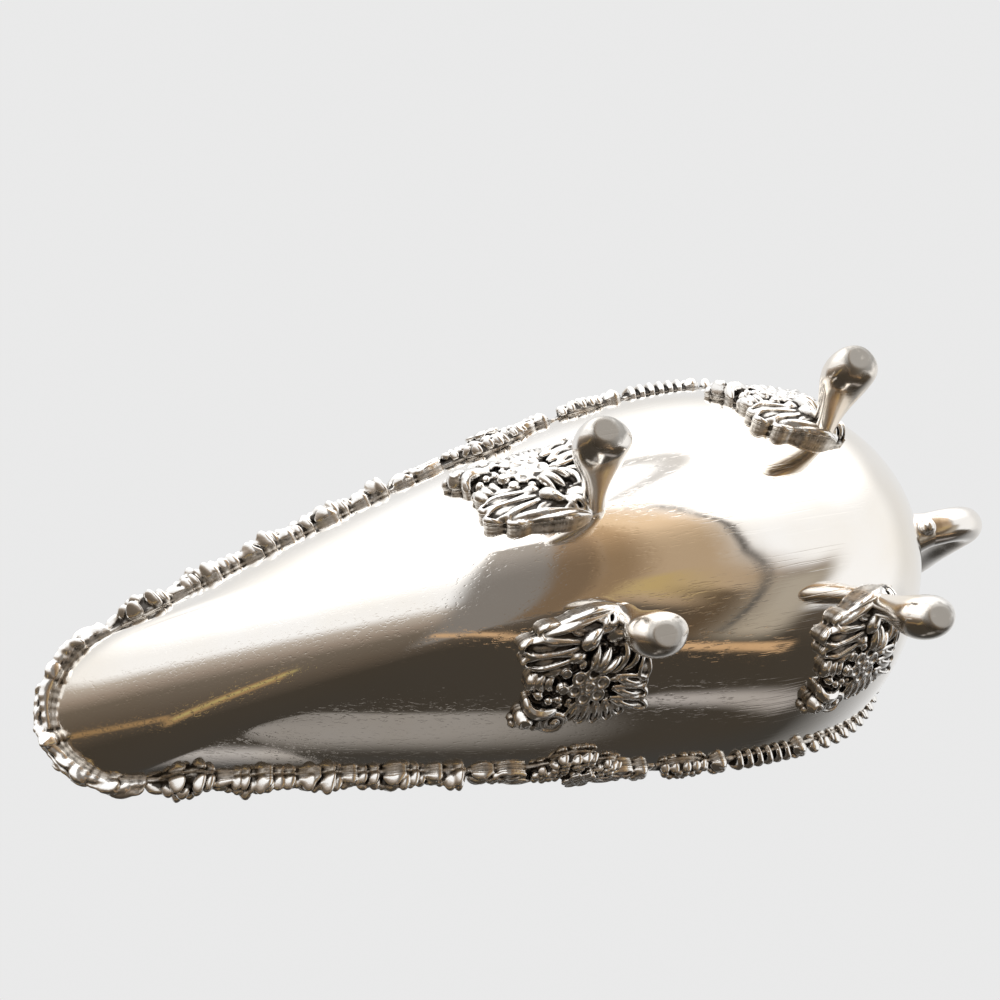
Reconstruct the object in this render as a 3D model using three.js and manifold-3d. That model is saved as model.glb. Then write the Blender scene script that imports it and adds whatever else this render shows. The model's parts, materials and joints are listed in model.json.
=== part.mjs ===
// A sauce boat of raised sheet silver on four cast feet, with a cast border and a loop handle.
//
// Millimetres, +Z up. The boat stands on its feet on z = 0, its spout points to -X and its
// handle to +X. Left is -Y and right is +Y. The origin is under the middle of its length.
//
// The bowl is one raised sheet. Everything else is cast, seated on the bowl's outside and
// soldered there. Castings keep the thickness of a solder joint to the bowl and to each other.

import * as THREE from 'three';
import { mergeVertices } from 'three/addons/utils/BufferGeometryUtils.js';
import Module from 'manifold-3d';

const wasm = await Module();
wasm.setup();

// Bowl
const BOWL_LENGTH = 213;              // spout tip to rear, at the rim
const BOWL_HALF_WIDTH = 44.3;         // at the rim's widest
const WIDEST_FROM_SPOUT = 150;
const LIP_HALF_WIDTH = 12.8;          // just behind the round of the spout's lip
const LIP_ROUND = 11.3;               // length over which the lip rounds off
const TAPER_SOFTNESS = 0.25;          // 0 gives the spout straight sides, 1 full ones
const REAR_FULLNESS = 2.6;            // 2 gives half an ellipse, more is squarer
const WALL = 1.2;
const BOTTOM_HEIGHT = 17.8;           // underside above the table
const BOTTOM_FROM_SPOUT = 160;
const SPOUT_HEIGHT = 101;             // rim above the table at the spout
const LOW_RIM_HEIGHT = 58.5;          // rim above the table at its lowest
const LOW_RIM_FROM_SPOUT = 147;
const REAR_HEIGHT = 90;               // rim above the table at the rear
const SPOUT_SECTION = { floor: 2.53, wall: 1.48 };   // more floor is flatter, more wall is steeper
const SIDE_SECTION = { floor: 2.0, wall: 1.1 };
const REAR_SECTION = { floor: 2.3, wall: 1.63 };

// Solder joint between two pieces
const JOINT_GAP = 0.3;

// Border
const BORDER_DEPTH = 3.4;             // below the rim's edge, down the wall
const BORDER_RISE = 0.9;              // above the rim's edge
const BORDER_PROUD = 1.3;             // plain band, out from the wall
const LIP_BORDER_REACH = 26;          // spout tip to the lip border's end, along the rim
const TWIG_RADIUS = 1.35;
const TWIG_SWAY = 1.2;                // to each side of the border's middle
const TWIG_TWIST = 33;                // length of one full turn
const KNOB_RADIUS = 2;                // at the spout tip
const KNOB_REACH = 3.4;               // beyond the spout tip
const SCROLL_LENGTH = 10.5;
const SCROLL_WIDTH = 2.4;
const BERRY_RADIUS = 1.55;
const BEAD_RADIUS = 1.25;
const RIB_COUNT = 6;
const RIB_PITCH = 3.6;
const BEAD_PITCH = 6.8;
const SPRAY_FROM_SPOUT = 96;          // spout tip to the side spray, along the rim
const SPRAY_LENGTH = 44;
const SPRAY_DROP = 9.6;               // how far the spray hangs below the rim
const SPRAY_FLOWER_RADIUS = 5.4;
const SPRAY_PROUD = 3.8;

// Feet
const FRONT_FOOT_FROM_SPOUT = 96.5;
const FRONT_FOOT_SPREAD = 22.2;       // middle of the boat to middle of the sole
const REAR_FOOT_FROM_SPOUT = 165;
const REAR_FOOT_SPREAD = 29.8;
const LEG_WIDTH = 6;                  // at the neck, where the leg leaves the knee
const TOE_WIDTH = 11;                 // along the boat
const TOE_THICKNESS = 8.4;
const TOE_HEIGHT = 5.6;               // sole to where the toe is widest
const SOLE_WIDTH = 4.2;
const LEG_LEAN = 9.8;                 // how far the leg's root lies inward of its sole
const LEG_BOW = 1.6;                  // outward curve halfway down the leg
const FRONT_LEG_RAKE = 7.5;           // how far the leg's root lies behind its sole
const REAR_LEG_RAKE = 2;
const KNEE_WIDTH = 30.6;              // along the boat
const KNEE_PROUD = 3.2;

// Handle
const HANDLE_REACH = 28;              // beyond the bowl's rear
const HANDLE_TOP = 113;               // above the table
const HANDLE_BAR = 8.6;
const HANDLE_ROOT_HEIGHT = 58;        // where the lower end meets the bowl
const HANDLE_ROOT_WIDTH = 15;
const HANDLE_ROOT_LENGTH = 12;
const HANDLE_ROOT_WALL = 0.7;         // at its thin end, round the bar
const LEAF_WIDTH = 22;                // mount at the handle's upper end, along the rim
const LEAF_DROP = 12;                 // how far that mount hangs below the rim
const LEAF_PROUD = 3;

// Fineness of the meshes
const BOWL_STATIONS = 56;
const BOWL_ROWS = 10;
const BAND_STEP = 9;
const TWIG_STEP = 3.6;
const TWIG_SIDES = 5;
const BAR_SIDES = 10;
const HANDLE_STEPS = 28;

// Squares across the grid on which the knee's forms are drawn
const KNEE_SQUARE_COUNT = 30;

const SPOUT_X = KNOB_REACH - (KNOB_REACH + BOWL_LENGTH + HANDLE_REACH) / 2;
const REAR_X = SPOUT_X + BOWL_LENGTH;
const WIDEST_X = SPOUT_X + WIDEST_FROM_SPOUT;
const LOW_RIM_X = SPOUT_X + LOW_RIM_FROM_SPOUT;
const BOTTOM_X = SPOUT_X + BOTTOM_FROM_SPOUT;
const BORDER_MIDDLE = BORDER_DEPTH / 2;

const UP = new THREE.Vector3(0, 0, 1);
const TO_REAR = new THREE.Vector3(1, 0, 0);
const TO_RIGHT = new THREE.Vector3(0, 1, 0);

// The bowl's form

function halfWidth(x) {
  if (x >= WIDEST_X) {
    const back = Math.min((x - WIDEST_X) / (REAR_X - WIDEST_X), 1);
    return BOWL_HALF_WIDTH * Math.sqrt(1 - back ** REAR_FULLNESS);
  }
  const ahead = (WIDEST_X - x) / (WIDEST_X - SPOUT_X);
  const soft = TAPER_SOFTNESS;
  const taper = (Math.hypot(ahead, soft) - soft) / (Math.hypot(1, soft) - soft);
  const side = BOWL_HALF_WIDTH - (BOWL_HALF_WIDTH - LIP_HALF_WIDTH) * taper;
  const round = Math.max(1 - (x - SPOUT_X) / LIP_ROUND, 0);
  return side * Math.sqrt(Math.max(1 - round * round, 0));
}

function rimHeight(x) {
  if (x >= LOW_RIM_X) {
    const back = (x - LOW_RIM_X) / (REAR_X - LOW_RIM_X);
    return LOW_RIM_HEIGHT + (REAR_HEIGHT - LOW_RIM_HEIGHT) * back * back;
  }
  const ahead = (LOW_RIM_X - x) / (LOW_RIM_X - SPOUT_X);
  return LOW_RIM_HEIGHT + (SPOUT_HEIGHT - LOW_RIM_HEIGHT) * ahead * ahead;
}

// turn is 0 at the spout tip and 1 at the rear. The right side has turns above 0, and the left
// side has the same ones below 0 and also those from 1 to 2.
function rimPoint(turn) {
  const x = SPOUT_X + BOWL_LENGTH * (1 - Math.cos(Math.PI * turn)) / 2;
  const side = Math.sin(Math.PI * turn) < 0 ? -1 : 1;
  return new THREE.Vector3(x, side * halfWidth(x), rimHeight(x));
}

// fill is 0 at the bottom of the bowl and 1 at the rim
function bowlPoint(turn, fill) {
  const rim = rimPoint(turn);
  const dx = rim.x - BOTTOM_X;
  const facing = -dx / Math.hypot(dx, rim.y);
  const spout = ((1 + facing) / 2) ** 2;
  const rear = ((1 - facing) / 2) ** 2;
  const side = 1 - spout - rear;
  const mix = (key) => SPOUT_SECTION[key] * spout + SIDE_SECTION[key] * side + REAR_SECTION[key] * rear;
  const rise = 1 - Math.max(1 - fill ** mix('floor'), 0) ** (1 / mix('wall'));
  return new THREE.Vector3(
    BOTTOM_X + dx * fill,
    rim.y * fill,
    BOTTOM_HEIGHT + (rim.z - BOTTOM_HEIGHT) * rise,
  );
}

function bowlNormal(turn, fill) {
  const step = 0.002;
  const near = Math.max(Math.min(fill, 1 - step), 3 * step);
  const along = bowlPoint(turn + step, near).sub(bowlPoint(turn - step, near));
  const upward = bowlPoint(turn, near + step).sub(bowlPoint(turn, near - step));
  return upward.cross(along).normalize();
}

// Meshes and solids

function centreOf(points) {
  return points.reduce((sum, point) => sum.add(point), new THREE.Vector3()).divideScalar(points.length);
}

// A closed skin over rings of points, each turning left about the way that the rings advance
function skin(rings, start = centreOf(rings[0]), end = centreOf(rings[rings.length - 1])) {
  const count = rings[0].length;
  const points = [...rings.flat(), start, end];
  const first = points.length - 2;
  const last = points.length - 1;
  const lastRing = (rings.length - 1) * count;
  const faces = [];
  for (let k = 0; k < count; k += 1) {
    const next = (k + 1) % count;
    faces.push(first, next, k);
    for (let here = 0; here < lastRing; here += count) {
      const there = here + count;
      faces.push(here + k, here + next, there + next);
      faces.push(here + k, there + next, there + k);
    }
    faces.push(last, lastRing + k, lastRing + next);
  }
  const geometry = new THREE.BufferGeometry();
  geometry.setAttribute('position', new THREE.Float32BufferAttribute(points.flatMap((p) => p.toArray()), 3));
  geometry.setIndex(faces);
  return geometry;
}

function welded(geometry) {
  const plain = geometry.clone();
  plain.deleteAttribute('normal');
  plain.deleteAttribute('uv');
  return mergeVertices(plain, 1e-5);
}

function solidOf(geometry) {
  const merged = welded(geometry);
  return new wasm.Manifold(new wasm.Mesh({
    numProp: 3,
    vertProperties: new Float32Array(merged.attributes.position.array),
    triVerts: new Uint32Array(merged.index.array),
  }));
}

function geometryOf(solid) {
  const mesh = solid.getMesh();
  const geometry = new THREE.BufferGeometry();
  geometry.setAttribute('position', new THREE.Float32BufferAttribute(mesh.vertProperties, 3));
  geometry.setIndex([...mesh.triVerts]);
  return geometry;
}

function joined(geometries) {
  return geometries.map(solidOf).reduce((whole, piece) => whole.add(piece));
}

// The same piece on the other side of the boat
function mirrored(geometry) {
  const copy = geometry.clone();
  copy.scale(1, -1, 1);
  const index = copy.index.array;
  for (let k = 0; k < index.length; k += 3) {
    [index[k], index[k + 1]] = [index[k + 1], index[k]];
  }
  return copy;
}

// Rings of the bowl from near its bottom to its rim, moved out of the surface by offset
function bowlRings(offset) {
  return Array.from({ length: BOWL_ROWS }, (_row, row) => {
    const fill = Math.sin(Math.PI / 2 * (row + 1) / BOWL_ROWS);
    return Array.from({ length: BOWL_STATIONS }, (_station, station) => {
      const turn = -2 * station / BOWL_STATIONS;
      return bowlPoint(turn, fill).addScaledVector(bowlNormal(turn, fill), offset);
    });
  });
}

function makeBowl() {
  const outer = bowlRings(0);
  const inner = bowlRings(-WALL);
  inner[BOWL_ROWS - 1].forEach((point, k) => point.setZ(outer[BOWL_ROWS - 1][k].z));
  const underside = new THREE.Vector3(BOTTOM_X, 0, BOTTOM_HEIGHT);
  const floor = new THREE.Vector3(BOTTOM_X, 0, BOTTOM_HEIGHT + WALL);
  return skin([...outer, ...inner.reverse()], underside, floor);
}

// The room that the bowl and its solder joints fill, carried straight up from the rim. Each
// casting is cut by it, so that its back lies against the bowl.
function bowlRoom() {
  const outer = bowlRings(JOINT_GAP);
  const top = Math.max(SPOUT_HEIGHT, HANDLE_TOP) + HANDLE_BAR;
  const lid = outer[BOWL_ROWS - 1].map((point) => new THREE.Vector3(point.x, point.y, top));
  const underside = new THREE.Vector3(BOTTOM_X, 0, BOTTOM_HEIGHT - JOINT_GAP);
  return solidOf(skin([...outer, lid], underside));
}

const room = bowlRoom();

function seated(parts) {
  return joined(parts).subtract(room);
}

// Places on the outside of the bowl

// Distances along the rim from the spout tip to the middle of the rear
const RIM_SAMPLES = 600;
const rimDistances = [0];
for (let k = 1; k <= RIM_SAMPLES; k += 1) {
  const step = rimPoint(k / RIM_SAMPLES).distanceTo(rimPoint((k - 1) / RIM_SAMPLES));
  rimDistances.push(rimDistances[k - 1] + step);
}
const HALF_RIM = rimDistances[RIM_SAMPLES];

function turnAt(distance) {
  if (distance < 0) {
    return -turnAt(-distance);
  }
  if (distance > HALF_RIM) {
    return 2 - turnAt(2 * HALF_RIM - distance);
  }
  const k = Math.max(rimDistances.findIndex((sample) => sample >= distance), 1);
  const part = (distance - rimDistances[k - 1]) / (rimDistances[k] - rimDistances[k - 1]);
  return (k - 1 + part) / RIM_SAMPLES;
}

// The fill of a place below the rim, at a depth measured down the wall
function fillAt(turn, depth) {
  const steps = 60;
  let fill = 1;
  let left = depth;
  let point = bowlPoint(turn, 1);
  for (let k = 1; k <= steps && left > 0; k += 1) {
    const lower = Math.cos(Math.PI / 2 * k / steps);
    const next = bowlPoint(turn, lower);
    const length = point.distanceTo(next);
    fill += (lower - fill) * Math.min(left / length, 1);
    left -= length;
    point = next;
  }
  return fill;
}

// Wall coordinates: along the rim from the spout tip, down the wall from the rim, and out of it
function onWall(along, down, out) {
  const turn = turnAt(along);
  if (down >= 0) {
    const fill = fillAt(turn, down);
    return bowlPoint(turn, fill).addScaledVector(bowlNormal(turn, fill), out);
  }
  const outward = bowlNormal(turn, 1).setZ(0).normalize();
  return bowlPoint(turn, 1).addScaledVector(outward, out).addScaledVector(UP, -down);
}

// The turn and fill where both misses are nothing, found by Newton's method
function bowlPlace(misses, start) {
  const step = 1e-4;
  let { turn, fill } = start;
  for (let round = 0; round < 12; round += 1) {
    const here = misses(turn, fill);
    const byTurn = misses(turn + step, fill).map((miss, k) => (miss - here[k]) / step);
    const byFill = misses(turn, fill + step).map((miss, k) => (miss - here[k]) / step);
    const area = byTurn[0] * byFill[1] - byTurn[1] * byFill[0];
    turn -= (byFill[1] * here[0] - byFill[0] * here[1]) / area;
    fill = Math.min(fill - (byTurn[0] * here[1] - byTurn[1] * here[0]) / area, 0.99);
  }
  return { turn, fill };
}

// A frame that touches the bowl at a place in plan
function frameAt(x, y) {
  const place = bowlPlace((turn, fill) => {
    const point = bowlPoint(turn, fill);
    return [point.x - x, point.y - y];
  }, { turn: 0.5, fill: 0.6 });
  const out = bowlNormal(place.turn, place.fill);
  const back = TO_REAR.clone().addScaledVector(out, -out.x).normalize();
  return { place, origin: bowlPoint(place.turn, place.fill), back, down: out.clone().cross(back), out };
}

// Knee coordinates: towards the rear and down the slope from a frame's origin, and out
function onFrame(frame, x, y, out) {
  const { turn, fill } = bowlPlace((someTurn, someFill) => {
    const offset = bowlPoint(someTurn, someFill).sub(frame.origin);
    return [offset.dot(frame.back) - x, offset.dot(frame.down) - y];
  }, frame.place);
  return bowlPoint(turn, fill).addScaledVector(bowlNormal(turn, fill), out);
}

// Bends a form that was made flat, x along, y down and z out, onto the bowl
function laid(geometry, placeOf) {
  const bent = welded(geometry);
  const position = bent.attributes.position;
  for (let k = 0; k < position.count; k += 1) {
    const point = placeOf(position.getX(k), position.getY(k), position.getZ(k));
    position.setXYZ(k, point.x, point.y, point.z);
  }
  return bent;
}

// Cast forms, made flat

// A form of a length, a width and a height, turned about its own middle
function shaped(geometry, { x, y, z, length, width, proud, turn = 0 }) {
  geometry.scale(length / 2, width / 2, proud);
  geometry.rotateZ(turn);
  geometry.translate(x, y, z);
  return geometry;
}

function lump(place) {
  return shaped(new THREE.IcosahedronGeometry(1), place);
}

// A pointed leaf with a ridge along its middle
function leaf(place) {
  return shaped(new THREE.OctahedronGeometry(1), place);
}

function berry(x, y, radius = BERRY_RADIUS, z = BORDER_PROUD) {
  return lump({ x, y, z, length: 2 * radius, width: 2 * radius, proud: radius });
}

// Leaves that spread from a stem, like the ribs of a shell
function fan({ x, y, leaves, from, to, start, length, width, proud, form = leaf }) {
  const middle = start + length / 2;
  return Array.from({ length: leaves }, (_, k) => {
    const turn = from + (to - from) * k / (leaves - 1);
    return form({
      x: x + middle * Math.cos(turn),
      y: y + middle * Math.sin(turn),
      z: 0,
      length,
      width,
      proud,
      turn,
    });
  });
}

// Six petals round a boss
function flower(x, y, radius, proud) {
  const petals = fan({
    x,
    y,
    leaves: 6,
    from: 0,
    to: Math.PI * 5 / 3,
    start: radius * 0.05,
    length: radius * 0.95,
    width: radius * 0.75,
    proud,
    form: lump,
  });
  return [...petals, berry(x, y, radius * 0.3, proud * 0.7)];
}

// Border

// The plain band under the ornament, with its lower edge at a depth that may change on the way
function band(from, to, depthAt = () => BORDER_DEPTH) {
  const steps = Math.max(Math.round((to - from) / BAND_STEP), 4);
  return skin(Array.from({ length: steps + 1 }, (_, k) => {
    const along = from + (to - from) * k / steps;
    const depth = depthAt(k / steps);
    return [
      onWall(along, -BORDER_RISE, -WALL / 2),
      onWall(along, depth, -WALL),
      onWall(along, depth, BORDER_PROUD / 3),
      onWall(along, (depth - BORDER_RISE) / 2, BORDER_PROUD),
      onWall(along, -BORDER_RISE, BORDER_PROUD / 2),
    ];
  }));
}

// A round twig along the rim, winding about the border's middle
function twig(from, to, phase) {
  const steps = Math.max(Math.round((to - from) / TWIG_STEP), 4);
  return skin(Array.from({ length: steps + 1 }, (_, k) => {
    const along = from + (to - from) * k / steps;
    const wind = 2 * Math.PI * along / TWIG_TWIST + phase;
    const down = BORDER_MIDDLE + TWIG_SWAY * Math.sin(wind);
    const high = BORDER_PROUD / 2 + TWIG_SWAY / 3 * Math.cos(wind);
    return Array.from({ length: TWIG_SIDES }, (_side, side) => {
      const angle = 2 * Math.PI * (side + 0.25) / TWIG_SIDES;
      return onWall(along, down + TWIG_RADIUS * Math.cos(angle), high + TWIG_RADIUS * Math.sin(angle));
    });
  }));
}

function onRim(parts) {
  return parts.map((part) => laid(part, onWall));
}

// Two twigs twisted round the lip, with a knot in them at the spout tip
function makeLipBorder() {
  const end = LIP_BORDER_REACH - JOINT_GAP / 2;
  const twigs = [0, 1].map((k) => twig(-end, end, Math.PI * (k + 0.5)));
  const knob = onRim([berry(0, BORDER_MIDDLE, KNOB_RADIUS, KNOB_REACH - KNOB_RADIUS)]);
  return seated([band(-end, end), ...twigs, ...knob]);
}

// A bunch of berries near the spout, then scrolls that lean to and fro with a bud after each
function makeFrontBorder() {
  const from = LIP_BORDER_REACH + JOINT_GAP / 2;
  const to = SPRAY_FROM_SPOUT - JOINT_GAP / 2;
  const bunchAt = from + 2.5 * BERRY_RADIUS;
  const bunch = [
    berry(bunchAt, BORDER_MIDDLE),
    berry(bunchAt + 1.9 * BERRY_RADIUS, BORDER_MIDDLE - BERRY_RADIUS),
    berry(bunchAt + 1.9 * BERRY_RADIUS, BORDER_MIDDLE + BERRY_RADIUS),
    berry(bunchAt + 3.8 * BERRY_RADIUS, BORDER_MIDDLE, 0.8 * BERRY_RADIUS),
  ];
  const scrollsFrom = bunchAt + 5 * BERRY_RADIUS;
  const count = Math.max(Math.floor((to - scrollsFrom) / SCROLL_LENGTH), 1);
  const pitch = (to - scrollsFrom) / count;
  const lean = 0.32;
  const scrolls = Array.from({ length: count }, (_, k) => {
    const side = k % 2 ? 1 : -1;
    const x = scrollsFrom + (k + 0.45) * pitch;
    return [
      leaf({
        x,
        y: BORDER_MIDDLE,
        z: BORDER_PROUD,
        length: pitch,
        width: SCROLL_WIDTH,
        proud: SCROLL_WIDTH / 2,
        turn: side * lean,
      }),
      berry(x + pitch * 0.4, BORDER_MIDDLE - side * BEAD_RADIUS, BEAD_RADIUS),
    ];
  });
  return seated([band(from, to), ...onRim([...bunch, ...scrolls.flat()])]);
}

// The spray in the middle of each side: a flower with leaves before and behind, and berries below
function makeSideSpray() {
  const from = SPRAY_FROM_SPOUT + JOINT_GAP / 2;
  const to = SPRAY_FROM_SPOUT + SPRAY_LENGTH - JOINT_GAP / 2;
  const middle = (from + to) / 2;
  const half = SPRAY_LENGTH / 2;
  const flowerDown = SPRAY_DROP - SPRAY_FLOWER_RADIUS - BERRY_RADIUS / 2;
  const belly = SPRAY_DROP - 2 * BERRY_RADIUS - BORDER_DEPTH;
  const leaves = {
    x: middle,
    y: flowerDown,
    leaves: 3,
    start: SPRAY_FLOWER_RADIUS * 0.7,
    length: half * 0.5,
    width: SPRAY_FLOWER_RADIUS * 0.7,
    proud: SPRAY_PROUD * 0.8,
  };
  const parts = [
    ...flower(middle, flowerDown, SPRAY_FLOWER_RADIUS, SPRAY_PROUD),
    ...fan({ ...leaves, from: -0.4, to: 0.4 }),
    ...fan({ ...leaves, from: Math.PI - 0.4, to: Math.PI + 0.4 }),
    ...[-2, -1, 0, 1, 2].map((k) => berry(
      middle + k * 1.8 * BERRY_RADIUS,
      SPRAY_DROP - BERRY_RADIUS - BERRY_RADIUS / 2 * Math.abs(k),
      BERRY_RADIUS,
      JOINT_GAP,
    )),
    ...[-1, 1].map((side) => berry(middle + side * half * 0.8, BORDER_MIDDLE)),
  ];
  const depth = (part) => BORDER_DEPTH + belly * Math.sin(Math.PI * part) ** 4;
  return seated([band(from, to, depth), ...onRim(parts)]);
}

// Three berries, a row of ribs across the band, then beads that shrink towards the handle
function makeRearBorder() {
  const from = SPRAY_FROM_SPOUT + SPRAY_LENGTH + JOINT_GAP / 2;
  const to = HALF_RIM - LEAF_WIDTH / 2 - JOINT_GAP / 2;
  const berries = [0, 1, 2].map((k) => berry(
    from + (2.5 + 1.9 * k) * BERRY_RADIUS,
    BORDER_MIDDLE + (k - 1) * BERRY_RADIUS / 2,
  ));
  const ribsFrom = from + 10 * BERRY_RADIUS;
  const ribs = Array.from({ length: RIB_COUNT }, (_, k) => leaf({
    x: ribsFrom + k * RIB_PITCH,
    y: BORDER_MIDDLE,
    z: BORDER_PROUD * 0.8,
    length: RIB_PITCH,
    width: BORDER_DEPTH + 2 * BORDER_RISE,
    proud: RIB_PITCH * 0.45,
    turn: 0.2,
  }));
  const beadsFrom = ribsFrom + RIB_COUNT * RIB_PITCH;
  const beadCount = Math.max(Math.floor((to - beadsFrom) / BEAD_PITCH), 0);
  const beads = Array.from({ length: beadCount }, (_, k) => {
    const size = 1 - 0.2 * k / beadCount;
    return lump({
      x: beadsFrom + (k + 0.5) * BEAD_PITCH,
      y: BORDER_MIDDLE,
      z: BORDER_PROUD,
      length: BEAD_PITCH * 0.8 * size,
      width: 2 * BEAD_RADIUS * size,
      proud: BEAD_RADIUS * size,
    });
  });
  return seated([band(from, to), ...onRim([...berries, ...ribs, ...beads])]);
}

// Feet

// An oval bar through a line of stops, each square to the way that the bar runs there
function bar(stops) {
  const rings = stops.map(({ centre, way, across, width, thick = width }) => {
    const side = across.clone().addScaledVector(way, -across.dot(way)).normalize();
    const other = way.clone().cross(side);
    return Array.from({ length: BAR_SIDES }, (_, k) => {
      const angle = 2 * Math.PI * k / BAR_SIDES;
      return centre.clone()
        .addScaledVector(side, width / 2 * Math.cos(angle))
        .addScaledVector(other, thick / 2 * Math.sin(angle));
    });
  });
  return skin(rings);
}

// A plain leg from the bowl's bottom out and down to a rounded toe with a flat sole, or the
// room that the leg fills when it is grown by its solder joint
function legBar({ x, spread, rake }, grow) {
  const sole = new THREE.Vector3(x, spread, 0);
  const frame = frameAt(x + rake, spread - LEG_LEAN);
  const root = frame.origin.clone().addScaledVector(frame.out, -LEG_WIDTH / 2);
  const bend = root.clone().add(sole).divideScalar(2).addScaledVector(TO_RIGHT, LEG_BOW);
  const line = new THREE.QuadraticBezierCurve3(root, bend, sole);
  const ankle = 1 - TOE_HEIGHT / root.z;
  const stop = (centre, way, start, share) => ({
    centre,
    way,
    across: TO_REAR,
    width: start + (TOE_WIDTH - start) * share + 2 * grow,
    thick: start + (TOE_THICKNESS - start) * share + 2 * grow,
  });
  const upper = [0, 0.3, 0.5, 0.7, 0.88].map((share) => {
    const part = share * ankle;
    return stop(line.getPoint(part), line.getTangent(part), LEG_WIDTH, share ** 1.3);
  });
  const ankleWay = line.getTangent(ankle);
  const toe = [1, 0.62, 0.3, 0.1, 0].map((height) => {
    const centre = sole.clone().lerp(line.getPoint(ankle), height);
    const way = ankleWay.clone().lerp(UP.clone().negate(), 1 - height).normalize();
    return stop(centre, way, SOLE_WIDTH, (1 - (1 - height) ** 2) ** 0.7);
  });
  return bar([...upper, ...toe]);
}

function makeLeg(foot) {
  return seated([legBar(foot, 0)]);
}

// The knee's ground: a shield that is thin at its edge, higher in the middle and highest where
// the leg comes out of it
function kneeShield() {
  const square = KNEE_WIDTH / KNEE_SQUARE_COUNT;
  const edge = new THREE.CatmullRomCurve3([
    [6.5, 16.2],
    [-8, 13.6],
    [-16.6, 8.8],
    [-14, 2.2],
    [-12.8, -3.6],
    [-15.2, -10.6],
    [-8, -13.2],
    [-1, -11],
    [7, -9.6],
    [13.6, -6.4],
    [13.8, 3.6],
    [11, 10],
  ].map(([x, y]) => new THREE.Vector3(x * square, y * square, 0)), true);
  const points = 14;
  const profile = [
    { share: 1, out: -WALL, lift: 0 },
    { share: 1, out: KNEE_PROUD * 0.25, lift: 0.6 },
    { share: 0.6, out: KNEE_PROUD * 0.4, lift: 1 },
  ];
  const middle = new THREE.Vector3();
  return skin(profile.map(({ share, out, lift }) => Array.from({ length: points }, (_, k) => {
    const place = edge.getPointAt(k / points).lerp(middle, 1 - share);
    return place.setZ(out + lift * kneeLift(place.y));
  })));
}

// How much higher the knee stands towards the leg, at a place down from its middle
function kneeLift(down) {
  const share = THREE.MathUtils.clamp(0.2 + 1.4 * down / KNEE_WIDTH, 0, 1);
  return KNEE_PROUD * share ** 2;
}

// A shell of lobes in front, a tulip and a flower in the middle, leaves behind and above them, and
// a volute with a berry at the front corner
function kneeOrnament() {
  const square = KNEE_WIDTH / KNEE_SQUARE_COUNT;
  const at = (form, x, y, length, width, proud, turn = 0) => form({
    x: x * square,
    y: y * square,
    z: kneeLift(y * square),
    length: length * square,
    width: width * square,
    proud: proud * KNEE_PROUD,
    turn,
  });
  return [
    at(leaf, -1.5, 13, 10, 4.4, 1, -0.2),
    at(leaf, -7, 10.8, 11, 4.4, 1, -0.1),
    at(leaf, -9.6, 7.6, 13, 4, 0.95, 0.1),
    at(leaf, -10.4, 4.6, 10, 3.4, 0.9, 0.3),
    at(lump, 1.9, 5.6, 6.6, 4.6, 1.1, 1.1),
    at(leaf, 8.4, 8, 9, 3, 1, 1.3),
    ...flower(-0.4 * square, -0.4 * square, 4.6 * square, KNEE_PROUD * 1.1),
    at(lump, -5.7, 0.6, 2.8, 5.4, 0.8),
    at(leaf, -9.8, 0.4, 6, 3.4, 0.8, 1.5),
    ...fan({
      x: square,
      y: -square,
      leaves: 4,
      from: -Math.PI * 0.64,
      to: -Math.PI * 0.22,
      start: 4.4 * square,
      length: 6.6 * square,
      width: 3 * square,
      proud: KNEE_PROUD * 0.9,
    }),
    at(leaf, 10, -2, 8, 3.2, 0.95, -0.3),
    at(leaf, 10.6, 3, 7, 3.6, 0.95, 1.5),
    at(lump, -6.4, -10, 6, 5.6, 0.85),
    at(lump, -13, -9.4, 4.2, 4.2, 0.85),
    at(leaf, -10.4, -6.2, 7, 3, 0.9, 2.6),
  ];
}

function makeKnee(foot) {
  const frame = frameAt(foot.x, foot.spread);
  const parts = [kneeShield(), ...kneeOrnament()];
  const bent = parts.map((part) => laid(part, (x, y, out) => onFrame(frame, x, y, out)));
  return seated(bent).subtract(solidOf(legBar(foot, JOINT_GAP)));
}

// Handle

// The handle's middle line: out from the wall, up with a lean to the rear, and over to the rim
function handleLine() {
  const thick = HANDLE_BAR;
  const out = HANDLE_REACH - thick / 2;
  const top = HANDLE_TOP - thick / 2;
  const waist = (HANDLE_ROOT_HEIGHT + REAR_HEIGHT) / 2;
  const shape = [
    [-1.05 * thick, HANDLE_ROOT_HEIGHT + 0.3 * thick],
    [-0.1 * thick, HANDLE_ROOT_HEIGHT - 0.15 * thick],
    [out - 1.9 * thick, HANDLE_ROOT_HEIGHT - 0.3 * thick],
    [out - 1.1 * thick, HANDLE_ROOT_HEIGHT + 0.15 * thick],
    [out - 0.85 * thick, waist - 0.7 * thick],
    [out - 0.65 * thick, waist + 0.45 * thick],
    [out - 0.25 * thick, REAR_HEIGHT + 0.1 * thick],
    [out, top - 0.9 * thick],
    [out - 0.35 * thick, top - 0.1 * thick],
    [out - 1.15 * thick, top],
    [out - 2 * thick, top - 0.7 * thick],
    [0.3 * thick, REAR_HEIGHT + 0.6 * thick],
    [-0.25 * thick, REAR_HEIGHT - 0.6 * thick],
    [-1.05 * thick, REAR_HEIGHT - 1.5 * thick],
  ];
  return new THREE.CatmullRomCurve3(shape.map(([x, z]) => new THREE.Vector3(REAR_X + x, 0, z)));
}

function handleBar(grow) {
  const line = handleLine();
  return bar(Array.from({ length: HANDLE_STEPS + 1 }, (_, k) => {
    const part = k / HANDLE_STEPS;
    const width = HANDLE_BAR * (1 - 0.25 * part ** 4) + 2 * grow;
    return { centre: line.getPointAt(part), way: line.getTangentAt(part), across: TO_RIGHT, width };
  }));
}

const handleRoom = solidOf(handleBar(JOINT_GAP));

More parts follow.
